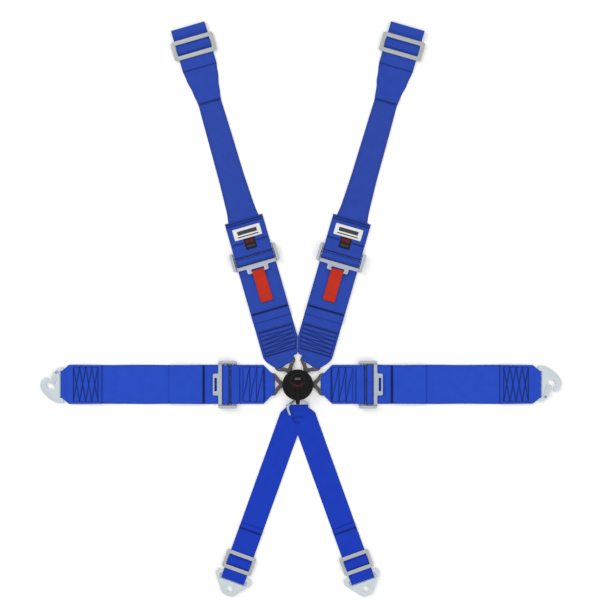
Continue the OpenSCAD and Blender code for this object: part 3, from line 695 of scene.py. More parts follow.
def metal(name, colour, rough, stripes=0.0):
    """Satin metal with a faint tumbled grain; stripes is the spacing of slanting pressed ribs, whose troughs
    get painted shade.
    """
    m = new_material(name, colour, rough, 1.0)
    n = Nodes(m)
    fine = n.noise(n.position(), 900.0, 3.0)
    if stripes:
        axes = n.add("ShaderNodeSeparateXYZ", {0: n.position()}).outputs
        slant = n.math("ADD", axes[0], n.math("MULTIPLY", axes[1], 0.55))
        rib = n.math("SINE", n.math("MULTIPLY", slant, 2 * math.pi / (stripes * MM)))
        rib = n.math("MULTIPLY", n.math("ADD", rib, 1.0), 0.5)
        # Painted shade in the troughs of the ribs.
        n.put(n.shader.inputs["Base Color"], n.mix(rib, (*[c * 0.74 for c in colour], 1), (*colour, 1)))
        fine = n.math("ADD", fine, n.math("MULTIPLY", rib, 6.0))
    blotches = {"Value": n.noise(n.position(), 140.0), 3: rough - 0.06, 4: rough + 0.08}
    n.put(n.shader.inputs["Roughness"], n.add("ShaderNodeMapRange", blotches).outputs[0])
    n.bump(fine, 0.04, 0.2 * MM)
    return m


LAP_BLUE = woven("webbing_blue", (0.020, 0.084, 0.62), (0.013, 0.050, 0.43)), "webbing_blue"
SHOULDER_BLUE = woven("webbing_shoulder", (0.025, 0.074, 0.46), (0.015, 0.044, 0.32)), "webbing_shoulder"
SUB_BLUE = woven("webbing_sub", (0.008, 0.050, 0.56), (0.005, 0.030, 0.38)), "webbing_blue"
NARROW_BLUE = woven("webbing_fine", (0.028, 0.074, 0.44), (0.017, 0.045, 0.31), 1.3, 1.0), "webbing_shoulder"
RED = woven("tab_red", (0.62, 0.034, 0.012), (0.42, 0.018, 0.008), 1.2, 1.0), "tab_red"
TAG_BLACK = woven("tag_black", (0.016, 0.018, 0.022), (0.008, 0.009, 0.012), 0.7, 0.7), "tag_black"
TAG_RED = woven("tag_red", (0.15, 0.016, 0.014), (0.09, 0.010, 0.009), 0.7, 0.7), "tag_black"
TAG_GREY = woven("tag_grey", (0.060, 0.066, 0.060), (0.035, 0.040, 0.036), 0.7, 0.7), "tag_black"
LAP_THREAD = new_material("thread_navy", (0.003, 0.005, 0.030), 0.6, Specular_IOR_Level=0.2), "webbing_blue"
SHOULDER_THREAD = LAP_THREAD[0], "webbing_shoulder"
SOFT_THREAD = new_material("thread_blue", (0.010, 0.022, 0.14), 0.55), "webbing_shoulder"
TAB_THREAD = new_material("thread_red", (0.30, 0.012, 0.008), 0.55), "tab_red"
LABEL_THREAD = new_material("thread_white", (0.62, 0.62, 0.60), 0.6), "label_white"
LABEL = new_material("label_white", (0.80, 0.80, 0.78), 0.6), "label_white"
LABEL_INK = new_material("label_ink", (0.03, 0.03, 0.035), 0.6), "label_white"
STEEL = metal("satin_steel", (0.45, 0.49, 0.55), 0.36), "steel"
RIBBED = metal("ribbed_steel", (0.52, 0.54, 0.54), 0.38, stripes=2.6), "steel"
HOOK_STEEL = metal("zinc_steel", (0.60, 0.66, 0.70), 0.34), "steel"
KNURLED = metal("knurled_steel", (0.34, 0.35, 0.37), 0.42), "steel"
TONGUE_GREY = metal("tongue_grey", (0.095, 0.093, 0.095), 0.40), "tongue_grey"
BLACK = new_material("knob_black", (0.0045, 0.0042, 0.004), 0.5, Specular_IOR_Level=0.14), "knob_black"
BADGE_RING = new_material("badge_ring", (0.012, 0.012, 0.012), 0.4, Specular_IOR_Level=0.2), "badge"
BADGE_BLACK = new_material("badge_black", (0.003, 0.003, 0.003), 0.4, Specular_IOR_Level=0.12), "badge"
BADGE_RED = new_material("badge_red", (0.10, 0.004, 0.005), 0.4, Specular_IOR_Level=0.15), "badge"
BADGE_GREY = new_material("badge_grey", (0.16, 0.16, 0.17), 0.5), "badge"
SPRING = metal("spring_wire", (0.45, 0.45, 0.46), 0.3), "spring_steel"
HOUSING = new_material("housing_black", (0.03, 0.03, 0.032), 0.5), "housing"


# ---- Tongues ----

ARM_W = 5.2
PIN_CIRCLE = joint_at("lap_right_tongue_swivel").x
BLADE_HALF = 9.25
PIN_HOLE_R = 4.3
TONGUE_LEAN = 31


def tongue(name, angle, node, body):
    """Round blade on its pin, a narrow neck and two arms that hold the strap bar."""
    m = placed((0, 0), math.radians(angle))
    inner, outer = FOLD_HALF + 0.4, FOLD_HALF + 0.4 + ARM_W
    tip = LAP_BAR + 2.5
    half = [(30, 7.2, 3), (33.5, 7.4, 4), (LAP_BAR - 4.8, 20.6, 3), (tip, outer, 1.6), (tip, inner, 0.9),
            (LAP_BAR - 3.9, inner, 0.3), (LAP_BAR - 4.0, 8.2, 1.5), (37.2, 1.0, 0.8)]
    outline = arc((PIN_CIRCLE, 0), BLADE_HALF, 270, 90, 24) + rounded(both_sides(half))
    hole = arc((PIN_CIRCLE, 0), PIN_HOLE_R, 0, 345, 23)
    o = plate(name, [outline, hole], PLATE_LOW, PLATE_T, m, TONGUE_GREY, bevel=0.85)
    reach = outer - 1.6
    profile = both_ends([(0.01, reach), (1.3, reach), (BAR_R, reach - 0.3)])
    hang(body, [o, cross_rod(name + "_bar", LAP_BAR, BAR_Z, profile, m, TONGUE_GREY)], node)


def sub_tongue():
    """Open hook: the right arm carries the bar inside the strap's fold, the left arm lies over the strap."""
    y = SUB_BAR_Y
    outline = arc((0, -PIN_CIRCLE), BLADE_HALF, 180, 0, 24) + rounded([
        (7.4, -31, 4), (22.6, y + 6.5, 5), (23.4, y - 2, 1.2), (20, y - 2, 0.8), (19.6, y + 4.6, 3),
        (4.4, -34.6, 1.4), (-4, -35, 1.4), (-8.6, -30, 3)])
    hole = arc((0, -PIN_CIRCLE), PIN_HOLE_R, 0, 345, 23)
    body = plate("tongue_sub", [outline, hole], PLATE_LOW, PLATE_T, BUCKLE_FRAME, STEEL, bevel=0.85)
    reach = 21.8
    profile = [(0.01, -19), (1.2, -19), (BAR_R, -18.6), (BAR_R, reach - 0.3), (1.3, reach), (0.01, reach)]
    across_m = moved(BUCKLE_FRAME, 0, y) @ Matrix.Rotation(-math.pi / 2, 4, "Z")
    bar = cross_rod("tongue_sub_bar", 0, BAR_Z, profile, across_m, STEEL)
    low, high = BAR_Z, BAR_Z + BAR_REACH + 0.5
    points = [(-5.2, -31, low), (-8.5, -33.5, low + 0.4), (-13, -36.4, low + 2.4), (-17.2, -39.4, high + 0.2),
              (-19.6, -43.2, high + 1.3), (-19.2, -48, high + 1.4), (-17, -54.5, high + 1.0),
              (-14.6, -60, high + 0.6)]
    widths = [4.4, 4.8, 5, 5.2, 5.2, 4.8, 4.2, 3.4]
    finger = sweep("tongue_sub_finger", points, widths, 2.2, BUCKLE_FRAME, STEEL)
    hang("sub_tongue", [body, bar, finger], "sub_tongue")


for belt, hand, angle in (("lap", "right", 0), ("lap", "left", 180), ("shoulder", "right", 90 - TONGUE_LEAN),
                          ("shoulder", "left", 90 + TONGUE_LEAN)):
    tongue(f"tongue_{belt}_{hand}", angle, f"{belt}_tongue_{hand}", f"{belt}_{hand}_tongue")
sub_tongue()


# ---- Adjusters, drawn from the front bar (u = 0) to the rear bar ----

WALL_V = 40.4
WALL_T = 1.8
WALL_LOW = 0.6
WALL_BEND = 1.9
WALL_RISE = 8.5
WING_D = 15.6
GRIP_SLOT = (15.0, 16.2)
GRIP_SLOT_R = 2.8
GRIP_HALF = 39.1


def wall_bend(side):
    """Rolls the flat wall (u, distance up the sheet, depth) into a wall with a lip that leans outwards."""
    def bend(co):
        u, d, h = co.x, co.y, co.z
        turn = (d - WALL_RISE) / WALL_BEND
        if turn < 0:
            v, z = WALL_V + h, WALL_LOW + d
        else:
            a = min(turn, math.pi / 2)
            flat = max(0, d - WALL_RISE - WALL_BEND * math.pi / 2)
            v = WALL_V + WALL_BEND - (WALL_BEND - h) * math.cos(a) + flat
            z = WALL_LOW + WALL_RISE + (WALL_BEND - h) * math.sin(a)
        return Vector((u, side * v, z))
    return bend


def adjuster(name, matrix, node, body):
    """Two walls with a slot for the grip bar, a front plate with its release tab, and a rear bar."""
    wall = rounded([(0, 3.3, 1.5), (9, 0, 4), (35, 0, 4), (36.6, 7, 3), (36.2, WING_D, 3.2),
                    (0.4, WING_D, 3.2)])
    front, rear = [(u, GRIP_Z - WALL_LOW) for u in GRIP_SLOT]
    slot = arc(front, GRIP_SLOT_R, 90, 270, 12) + arc(rear, GRIP_SLOT_R, 270, 450, 12)
    bends = [WALL_RISE + WALL_BEND * math.pi / 2 * i / 7 for i in range(8)]
    pieces = [plate(f"{name}_wall_{letter}", [wall, slot], -WALL_T / 2, WALL_T, matrix, STEEL, bevel=0.5,
                    bend=wall_bend(side), cuts=bends) for letter, side in (("a", 1), ("b", -1))]
    inside = WALL_V - 0.6
    tab = rounded(both_sides([(-10.6, -21.2, 3), (-0.2, -21.2, 2.4), (0, -inside, 0.6), (6.8, -inside, 0.6)]))
    window = rounded_box(-7.8, -2.8, 13.2, 2)
    pieces.append(plate(name + "_front", [tab, window], 4.0, 1.8, matrix, STEEL, bevel=0.6,
                        bend=lambda co: Vector((co.x, co.y, co.z + 0.22 * max(0, 1 - co.x))),
                        cuts_u=[1.0, 0.4, -0.4, -1.2]))
    end = WALL_V + WALL_T / 2
    rivet = [(0.01, end + 0.9), (1.6, end + 0.9), (2.3, end + 0.5), (2.4, end), (3, end)]
    pieces.append(cross_rod(name + "_rear", REAR_U, REAR_Z, both_ends(rivet), matrix, STEEL, 32))
    hang(body, pieces, node)


def grip_bar(name, matrix, node, body):
    """Knurled bar with a thinner, headed pin at each end."""
    end, pitch, ring_end = GRIP_HALF, 1.05, GRIP_HALF - 0.6
    rings = [(4.95, -ring_end + pitch * i) for i in range(int(2 * ring_end / pitch) + 1)]
    tip = [(0.01, 43.1), (2.2, 43.1), (2.8, 42.6), (2.8, 41.7), (2.4, 41.6), (2.4, end), (4.3, end)]
    o = cross_rod(name, GRIP_U, GRIP_Z, both_ends(tip, rings), matrix, KNURLED, 36, knurl=0.28)
    hang(body, [o], node)


def slide(name, matrix, half_w, window, bar_w, node, body):
    """Three-bar slide: a frame with a middle bar that the strap covers."""
    half_len = 4 + 7 + bar_w
    holes = [rounded_box(x - 3.5, x + 3.5, window, 1.6) for x in (-7.5, 7.5)]
    o = plate(name, [rounded_box(-half_len, half_len, half_w, 4.2)] + holes, TOP_2 + 0.4, 2.2, matrix, RIBBED)
    hang(body, [o], node)


# ---- Lap belts ----

LAP_TAIL = 250.0
TAIL_HEM = 68.5
HOOK_DOUBLE = 77.5
HOOK_TAPER = 12.5
# Painted shade on the sides of webbing rolled round a bar, where it dips into the gap beside the next bar.
ROLL_SHADE = 0.8


def lap_inner(name, side, m, body):
    """A loop between the tongue and the adjuster's rear bar, sewn together on its underside."""
    path = [(90.2, LAYER_1)] + rear_loop(LAP_REAR, 22) \
        + [(LAP_REAR - 14, LAYER_2 + 1.6), (LAP_REAR - 22, LAYER_2)] + bar_fold(LAP_BAR) + [(89.9, LAYER_1)]
    ends, sides = sewn_field(64.8, 113.2)
    strokes = wavy(saw_teeth(66.5, 13.6, 4), side)
    near, near_end = nearness([strokes], 1.3), nearness(ends, 1.4)

    def half(u):
        return FOLD_HALF + (WIDE_HALF - FOLD_HALF) * share(u, LAP_BAR - 1.5, LAP_BAR + 19)

    def lift(u, w):
        pleat = 0.5 + 0.5 * math.cos(w * 13.0 + side)
        return 1.1 * pleat * hill(u, LAP_BAR + 2.5, LAP_BAR + 9, LAP_BAR + 14, LAP_BAR + 30) \
            + PUCKER * (1 - near(u, w * WIDE_HALF)) * hill(u, 56, 66, 112, 122)

    # Painted shade along the sewing and at the ends of the sewn field, on the side of the loop round the rear
    # bar, and in the fold round the tongue's bar.
    def painted_shade(u, w):
        place = (u, w * WIDE_HALF)
        return max(0.55 * near(*place), 0.8 * near_end(*place),
                   ROLL_SHADE * ramp(u, LAP_REAR + 1, LAP_REAR + 4.4),
                   0.25 * (1 - ramp(u, LAP_BAR - 3, LAP_BAR)))

    inner = web(f"lap_inner_{name}", path, straight(half), m, LAP_BLUE, WIDE_HALF, cols=44, lift=lift,
                painted_shade=painted_shade, sewn=(60, 118))
    thread = sew(f"lap_inner_thread_{name}", ends + sides + [strokes], TOP_2, m, LAP_THREAD,
                 lift=by_width(lift, WIDE_HALF))
    hang(body, [inner, thread], f"lap_inner_strap_{name}")


def lap_outer(name, side, m, body, hook_bar):
    """Sewn round the hook, back to the adjuster and out again as the loose tail."""
    wave = soft_wave(20 + side, 0.9, 90)
    path = [(hook_bar - HOOK_DOUBLE, LAYER_2), (hook_bar - 12, LAYER_2), (hook_bar - 9, LAYER_2 + 0.4),
            (hook_bar - 3.6, BAR_Z + BAR_TURN - 0.5)] + shift(arc((0, BAR_Z), BAR_TURN, 90, -90), hook_bar) \
        + grip_wrap(LAP_FRONT, -1) + hem(LAP_TAIL, TAIL_HEM)
    taper = hook_bar - HOOK_TAPER
    v, low, high = SEWN_HALF, hook_bar - 69.5, hook_bar - 21.5
    crosses = [[(low + 12 * i, sign * (v if i % 2 else -v)) for i in range(5)] for sign in (1, -1)]
    hems = [LAP_TAIL - TAIL_HEM + 1.1 * (i + 1) for i in range(3)]
    hook_near = nearness(crosses + across((low, high), v), 1.4)
    hem_near = nearness(across(hems, WIDE_HALF), 1.3)
    window_near = nearness(across([LAP_FRONT + 5.3], 11), 3)

    def half(u):
        return WIDE_HALF + (26 - WIDE_HALF) * share(u, taper, hook_bar + 1) + 0.25 * math.sin(u * 0.05 + side)

    def lift(u, w):
        free = hill(u, 168, 200, hook_bar - 33, taper)
        sewn = hill(u, low - 8, low, high, high + 8)
        return free * (wave(u, w) + 0.35 * abs(w) ** 6) + PUCKER * sewn * (1 - hook_near(u, w * WIDE_HALF))

    # Painted shade along the sewing at the hook and the hem, on both sides of the roll over the grip bar, and
    # below the release tab's window.
    def painted_shade(u, w):
        place = (u, w * WIDE_HALF)
        roll = ROLL_SHADE * (1 - ramp(u, LAP_GRIP - 6.4, LAP_GRIP - 3.2)) \
            + 0.5 * nearness_1d(u, LAP_FRONT - 7.8, 1.6)
        return max(0.6 * hook_near(*place), 0.75 * hem_near(*place), roll, 0.6 * window_near(*place))

    outer = web(f"lap_outer_{name}", path, straight(half), m, LAP_BLUE, WIDE_HALF, cols=36, lift=lift,
                painted_shade=painted_shade, sewn=(low - 4, high + 4))
    by_v = by_width(lift, WIDE_HALF)
    box = box_line(low, high, v)
    double = sew(f"lap_hook_thread_{name}", [box] + crosses, TOP_2, m, LAP_THREAD, lift=by_v)
    tail = sew(f"lap_tail_thread_{name}", across(hems, HEM_SEWN), TOP_3, m, LAP_THREAD, lift=by_v)
    hang(body, [outer, double, tail], f"lap_outer_strap_{name}")


def lap_hook(name, m, body):
    """Flat snap hook with a spring gate across its throat."""
    back, notch, notch_end = HOOK_BAR - 2.5, 26.4, HOOK_BAR + BAR_REACH + 1.6
    outline = rounded([
        (back, 36.5, 1.2), (470, 35, 10), (484, 27.5, 12), (497, 15, 9), (502.2, 2, 9), (498, -11, 8),
        (487.5, -14.5, 2.2), (485.6, -10, 1.2), (490, -1, 4), (487.5, 9, 4.5), (473.5, 9, 3), (473.5, -6, 3),
        (477, -21, 3), (469, -31.5, 6), (back, -34, 1.2),
        (back, -notch, 0.4), (notch_end, -notch, 1.5), (notch_end, notch, 1.5), (back, notch, 0.4)])
    hook = plate(f"lap_hook_{name}_plate", [outline], PLATE_LOW, PLATE_T, m, HOOK_STEEL)
    hang(body + "hook", [hook, pin_bar(f"lap_hook_{name}_bar", HOOK_BAR, m)], f"lap_hook_{name}")

    gate_low, gate_t = PLATE_LOW + PLATE_T + 0.3, 1.6
    gate_outline = rounded([(464.6, -24, 4), (472.5, -3.2, 3), (473.4, -1.4, 1), (483, -1.4, 2),
                            (483.5, -5, 3), (475, -28, 4.5)])
    gate = [plate(f"lap_gate_{name}_plate", [gate_outline], gate_low, gate_t, m, HOOK_STEEL, bevel=0.45)]
    for i in range(6):
        rib = moved(m, 477.9 - 1.05 * i, -4 - 2.6 * i) @ Matrix.Rotation(math.radians(-20), 4, "Z")
        gate.append(plate(f"lap_gate_{name}_rib_{i}", [rounded_box(-3.4, 3.4, 0.6, 0.5)], gate_low + 1.4, 0.7,
                          rib, HOOK_STEEL, bevel=0.25, segments=2))
    hang(body + "gate", gate, f"lap_gate_{name}")
    low, top = PLATE_LOW, gate_low + gate_t
    profile = [(0.01, low - 0.8), (2.6, low - 0.8), (3, low - 0.4), (3, low), (2, low), (2, top + 0.1),
               (3, top + 0.1), (2.9, top + 0.5), (2.2, top + 0.9), (0.01, top + 1.1)]
    rivet = lathe(f"lap_rivet_{name}", profile, moved(m, *GATE_PIVOT), KNURLED, 32)
    hang(body + "hook", [rivet], f"lap_gate_rivet_{name}")


def lap_belt(name, side):
    m = placed((0, 0), 0, side, turn=True)
    body = f"lap_{name}_"
    hook_bar = abs(joint_at(f"lap_{name}_hook_swing").x)
    lap_inner(name, side, m, body + "inner")
    lap_outer(name, side, m, body + "outer", hook_bar)
    turned_m = moved(m, LAP_FRONT) @ Matrix.Rotation(math.pi, 4, "Z")
    adjuster(f"lap_adjuster_{name}_frame", turned_m, f"lap_adjuster_{name}", body + "adjuster")
    grip_bar(f"lap_grip_{name}", turned_m, f"lap_grip_bar_{name}", body + "grip")
    lap_hook(name, moved(m, hook_bar - HOOK_BAR), body)


for name, side in SIDES.items():
    lap_belt(name, side)


# ---- Shoulder belts ----

TONGUE_AXIS = Vector((math.cos(math.radians(90 - TONGUE_LEAN)), math.sin(math.radians(90 - TONGUE_LEAN))))
TONGUE_TURN = math.radians(90 - TONGUE_LEAN) - BELT_ANGLE
SHOULDER_BAR = Matrix.Rotation(-BELT_ANGLE, 2) @ (LAP_BAR * TONGUE_AXIS - BELT_ROOT)
CENTRE_GAP = 0.35
SHOULDER_TAIL = FOLD_S + 0.9


def root_plan(u, w):
    """The strap leaves the tongue square to it, then turns along the belt and opens to full width."""
    du = u - SHOULDER_BAR.x
    c, s = math.cos(TONGUE_TURN), math.sin(TONGUE_TURN)
    half = FOLD_HALF + 0.9 * min(max(du + 1.5, 0), 6)
    on_tongue = (SHOULDER_BAR.x + c * du - s * w * half, SHOULDER_BAR.y + s * du + c * w * half)
    gap_x = BELT_ROOT.x + u * BELT_AXIS.x - CENTRE_GAP
    inner = min(WIDE_HALF, max(FOLD_HALF, gap_x / BELT_AXIS.y))
    on_belt = (u, w * (inner if w > 0 else WIDE_HALF))
    k = share(u, 9, 22 - 5 * w)
    k *= 1.85 - 0.85 * k
    return (on_tongue[0] + (on_belt[0] - on_tongue[0]) * k, on_tongue[1] + (on_belt[1] - on_tongue[1]) * k)


def blend_s(o):
    """For a piece that spans two bodies: bakes its placing into its mesh, without bending it."""
    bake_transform(o)


def shoulder_lower(name, side, m, body):
    """Folded round the tongue's bar and sewn down, then round the grip bar and back as the loose tail."""
    wave = soft_wave(40 + side, 0.8, 80)
    ends, sides = sewn_field(26.6, 73.4)
    strokes = wavy(saw_teeth(32, 8.4, 5), 10 + side)
    near, near_end = nearness([strokes], 1.3), nearness(ends, 1.5)
    hem_row = SHOULDER_TAIL + 17.2
    hem_near = nearness(across([hem_row], WIDE_HALF), 1.6)

    def lift(u, w):
        pleat = 0.5 + 0.5 * math.cos(w * 12.0 + 1)
        return hill(u, 76, 90, 172, 192) * wave(u, w) + 1.1 * pleat * hill(u, 6.5, 12, 18, 36) \
            + PUCKER * (1 - near(u, w * WIDE_HALF)) * hill(u, 16, 28, 72, 80)

    # Painted shade along the sewing at the root and its ends, beside the hem's sewing, and on both sides of
    # the roll over the grip bar.
    def painted_shade(u, w):
        place = (u, w * WIDE_HALF)
        return max(0.5 * near(*place), 0.85 * near_end(*place), 0.75 * hem_near(*place),
                   0.5 * ROLL_SHADE * ramp(u, SHOULDER_GRIP + 3, SHOULDER_GRIP + 6.4),
                   0.5 * nearness_1d(u, SHOULDER_FRONT + 7.8, 1.6))

    path = [(76.0, LAYER_2), (26, LAYER_2)] + bar_fold(SHOULDER_BAR.x, 9) + grip_wrap(SHOULDER_FRONT, 1) \
        + hem(SHOULDER_TAIL, 19, -1)
    lower = web(f"shoulder_lower_{name}", path, root_plan, m, SHOULDER_BLUE, WIDE_HALF, cols=44, lift=lift,
                painted_shade=painted_shade, sewn=(22, 78))
    blend_s(lower)
    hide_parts(f"shoulder_root_strap_{name}", f"shoulder_lower_strap_{name}")
    plan, by_v = by_width(root_plan, WIDE_HALF), by_width(lift, WIDE_HALF)
    rows = ends + sides + [strokes]
    thread = sew(f"shoulder_root_thread_{name}", rows, TOP_2, m, SHOULDER_THREAD, plan, by_v)
    rows = across((hem_row - 0.6, hem_row + 0.6), HEM_SEWN)
    tail = sew(f"shoulder_tail_thread_{name}", rows, TOP_3, m, SHOULDER_THREAD, plan, by_v)
    hang(body + "root", [thread])
    hang(body + "lower", [tail])


TAB_END = 129
TAB_T = 1.1
TAB_TURN = 1.45 + 0.25 + TAB_T / 2


def pull_tab(name, m, body):
    """Red loop of tape through the adjuster's window."""
    low = TAB_ROD_Z - TAB_TURN
    high = low + TAB_T + 0.12
    path = [(TAB_END, low), (TAB_ROD_S - 6, low)] \
        + shift(arc((0, TAB_ROD_Z), TAB_TURN, -90, 90), TAB_ROD_S) \
        + [(TAB_ROD_S - 4, TAB_ROD_Z + TAB_TURN - 0.6), (TAB_ROD_S - 11, low + TAB_T + 0.6),
           (TAB_ROD_S - 16, high), (TAB_END + 0.3, high)]

    def half(u):
        return 12.2 - 0.8 * ramp(TAB_END + 2.5 - u, 0, 2.5)

    o = web(f"pull_tab_{name}_tape", ease(dense(path)), straight(half), m, RED, 12.2, TAB_T, 12, step=2.0)
    box = box_line(TAB_END + 3, TAB_END + 15, 9.4)
    thread = sew(f"pull_tab_{name}_thread", [box], high + TAB_T / 2, m, TAB_THREAD, pitch=2.6, r=0.28)
    hang(body, [o, thread], f"pull_tab_{name}")


def patch(name, m, s0, s1, half, low, t, look):
    """Flat piece of fabric or print on a belt."""
    return plate(name, [rounded_box(s0, s1, half, 1)], low, t, m, look, bevel=min(0.2, t * 0.4), segments=2)


def label_strap(name, m, body):
    """Wide strap looped round the rear bar, with the label and the small tag sewn on."""
    slope = [(SHOULDER_REAR + 12.5, LAYER_2 + 1.6), (SHOULDER_REAR + 18, LAYER_2), (LABEL_END, LAYER_2)]
    path = [(285.5, LAYER_1)] + rear_loop(SHOULDER_REAR, 20, -1) + slope
    v, front_row = 35.0, 250.5
    rows = across((288.4, 292.6), v) + [[(front_row, sign * v), (front_row, sign * 14)] for sign in (-1, 1)]
    near = nearness(rows, 1.5)

    # Painted shade beside the sewing and on the side of the loop round the rear bar.
    def painted_shade(u, w):
        return max(0.75 * near(u, w * WIDE_HALF),
                   0.5 * ROLL_SHADE * (1 - ramp(u, SHOULDER_REAR - 4.4, SHOULDER_REAR - 1)))

    o = web(f"label_strap_{name}_web", path, straight(WIDE_HALF), m, SHOULDER_BLUE, WIDE_HALF, cols=36,
            painted_shade=painted_shade, sewn=(246, 296))
    thread = sew(f"label_strap_{name}_thread", rows, TOP_2, m, SHOULDER_THREAD)
    label = patch(f"label_{name}", m, 258.7, 280.7, 27.5, TOP_2 + 0.05, 0.5, LABEL)
    bars = [patch(f"label_bar_{i}_{name}", m, s0, s1, half, TOP_2 + 0.5, 0.15, LABEL_INK)
            for i, (s0, s1, half) in enumerate([(262.2, 264.4, 21), (267.4, 275.2, 19.5)])]
    rim = sew(f"label_thread_{name}", [box_line(259.9, 279.5, 26.2)], TOP_2 + 0.5, m, LABEL_THREAD, pitch=2.4,
              r=0.22)

    # Tag: a small woven strip below the label that follows the slope of the strap
    heights = list(zip(*([(SHOULDER_REAR + 1, REAR_Z + REAR_TURN)] + slope)))
    over = ease([(s, float(np.interp(s, *heights)) + WEB_T / 2 + 0.5) for s in np.linspace(236.5, 258.2, 14)])
    tag = [web(f"tag_{name}", over, straight(11), m, TAG_BLACK, 11, 0.8, 8)]
    for part, look, first, last in (("block", TAG_RED, 7, 13), ("stripe", TAG_GREY, 2, 6)):
        raised = [(s, z + 0.4) for s, z in over[first:last]]
        tag.append(web(f"tag_{part}_{name}", raised, straight(8), m, look, 8, 0.3, 8))
    hang(body, [o, thread], f"label_strap_{name}")
    hang(body, [label, rim] + bars, f"blank_label_{name}")
    hang(body, tag, f"woven_tag_{name}")


NARROW_WIDTHS = [(285, 32.2), (293, 31.6), (300, 30.2), (308, 29.0), (318, 28.0), (332, 27.2), (380, 25.2),
                 (450, 24.2), (535, 22.7), (545, 22.4)]


def narrow_half(u):
    return float(np.interp(u, *zip(*NARROW_WIDTHS)))


def narrow_belt(name, side, m):
    """Narrow webbing with a row of sewing beside each edge."""
    wave = soft_wave(60 + side, 0.9, 110)

    def lift(u, w):
        return hill(u, 308, 345, 500, 524) * wave(u, w)

    path = [(286.2, LAYER_1), (544.0, LAYER_1)]
    narrow = web(f"narrow_{name}", path, straight(narrow_half), m, NARROW_BLUE, 25, lift=lift)
    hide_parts(f"narrow_belt_{name}")
    lines = [[(u, sign * (narrow_half(u) - 4.2)) for u in (291, 299, 308, 318, 330, 380, 450, 525)]
             for sign in (-1, 1)]
    edge = sew(f"narrow_edge_thread_{name}", lines, TOP_1, m, SOFT_THREAD,
               lift=lambda u, v: lift(u, v / narrow_half(u)), pitch=3.0, r=0.3)
    for o in (narrow, edge):
        blend_s(o)


CROSS_S = 534.7
SLIDE_S = 645.7
WRAP_END = 687.0
WRAP_TAIL = 603.0
WRAP_HALF = 34.0
WRAP_TURN = 3.8


def wrap_strap(name, side, m, body):
    """Sewn over the narrow belt, through the slide, round the open end and back through the slide."""
    end = WRAP_END - WRAP_TURN - WEB_T / 2
    top = LAYER_1 + 2 * WRAP_TURN
    path = [(CROSS_S - 2.4, LAYER_2), (CROSS_S + 12, LAYER_2), (CROSS_S + 17, LAYER_1 + 0.3),
            (CROSS_S + 22, LAYER_1)] + slide_pass(SLIDE_S, RISE_LOW, LAYER_1) \
        + arc((end, LAYER_1 + WRAP_TURN), WRAP_TURN, -90, 90) \
        + [(end - 9, top - 0.3), (SLIDE_S + 24, LAYER_2 + 3.2), (SLIDE_S + 20.5, LAYER_2 + 0.3)] \
        + slide_pass(SLIDE_S, RISE_HIGH, LAYER_2, -1) + [(WRAP_TAIL, LAYER_2)]

    def half(u):
        k = share(u, CROSS_S, 604)
        bulge = 0.5 * math.sin(u * 0.21 + side) * math.sin(math.pi * k)
        return 23 + (WRAP_HALF - 23) * (0.7 * k + 0.3 * ramp(k, 0, 1)) + bulge

    def lift(u, w):
        rolled = ramp(abs(w), 0.62, 0.8) * (0.55 + 0.45 * math.sin(u * 0.33 + 2 * w))
        return hill(u, 552, 566, 606, 622) * (0.9 * rolled + 0.25 + 0.2 * math.sin(u * 0.12 + 3 * w))

    rows = across([CROSS_S], 20.4)
    near = nearness(rows, 1.5)
    # The darkening beside the row of sewing is painted shade.
    wrap = web(f"wrap_{name}", path, straight(half), m, SHOULDER_BLUE, WRAP_HALF, cols=30, lift=lift,
               painted_shade=lambda u, w: 0.7 * near(u, w * half(u)), sewn=(CROSS_S - 8, CROSS_S + 5))
    cross = sew(f"wrap_thread_{name}", rows, TOP_2, m, SHOULDER_THREAD)
    hang(body, [wrap, cross], f"wrap_strap_{name}")
    slide(f"shoulder_slide_{name}_frame", moved(m, SLIDE_S), 42.5, WRAP_HALF + 0.6, 8,
          f"shoulder_slide_{name}", body)


def shoulder_belt(name, side):
    m = placed(BELT_ROOT, BELT_ANGLE, side)
    at_adjuster = moved(m, SHOULDER_FRONT)
    body = f"shoulder_{name}_"
    shoulder_lower(name, side, m, body)
    adjuster(f"shoulder_adjuster_{name}_frame", at_adjuster, f"shoulder_adjuster_{name}", body + "adjuster")
    grip_bar(f"shoulder_grip_{name}", at_adjuster, f"shoulder_grip_bar_{name}", body + "grip")
    pull_tab(name, m, body + "pull_tab")
    label_strap(name, m, body + "upper")
    narrow_belt(name, side, m)
    wrap_strap(name, side, m, body + "belt")


for name, side in SIDES.items():
    shoulder_belt(name, side)


# ---- Anti-submarine strap ----

SUB_FOLD_U = (LEG_ROOT.y - SUB_BAR_Y) * -LEG_AXIS.y
LEG_SLIDE = 337.0
LEG_TAIL = 262.0
CENTRE_LAP = 0.9
CREASES = [[(-10, -66), (-3, -63.8), (9, -63.4)], [(-7.5, -70), (-3.5, -75.5), (3, -75)]]


def leg_plan(side):
    """Half of the fold round the tongue's bar, then along the leg; above the crotch the two legs meet."""
    d = Vector((side * LEG_AXIS.x, LEG_AXIS.y))
    n = Vector((-d.y, d.x))
    fold_half = 22.6 if side < 0 else 20.4

    def plan(u, w):
        out = w * side
        inner = min(SUB_HALF, (u * LEG_AXIS.x + CENTRE_LAP) / -LEG_AXIS.y)
        off_centre = (out + 1) / 2 * (fold_half + CENTRE_LAP) - CENTRE_LAP
        a = Vector((side * off_centre, SUB_BAR_Y - (u - SUB_FOLD_U)))
        b = LEG_ROOT + u * d + side * out * (SUB_HALF if out > 0 else inner) * n
        k = share(u, SUB_FOLD_U + 2, SUB_FOLD_U + 23)
        return a.lerp(b, k * (1.5 - 0.5 * k) if out > 0 else k)[:]
    return plan


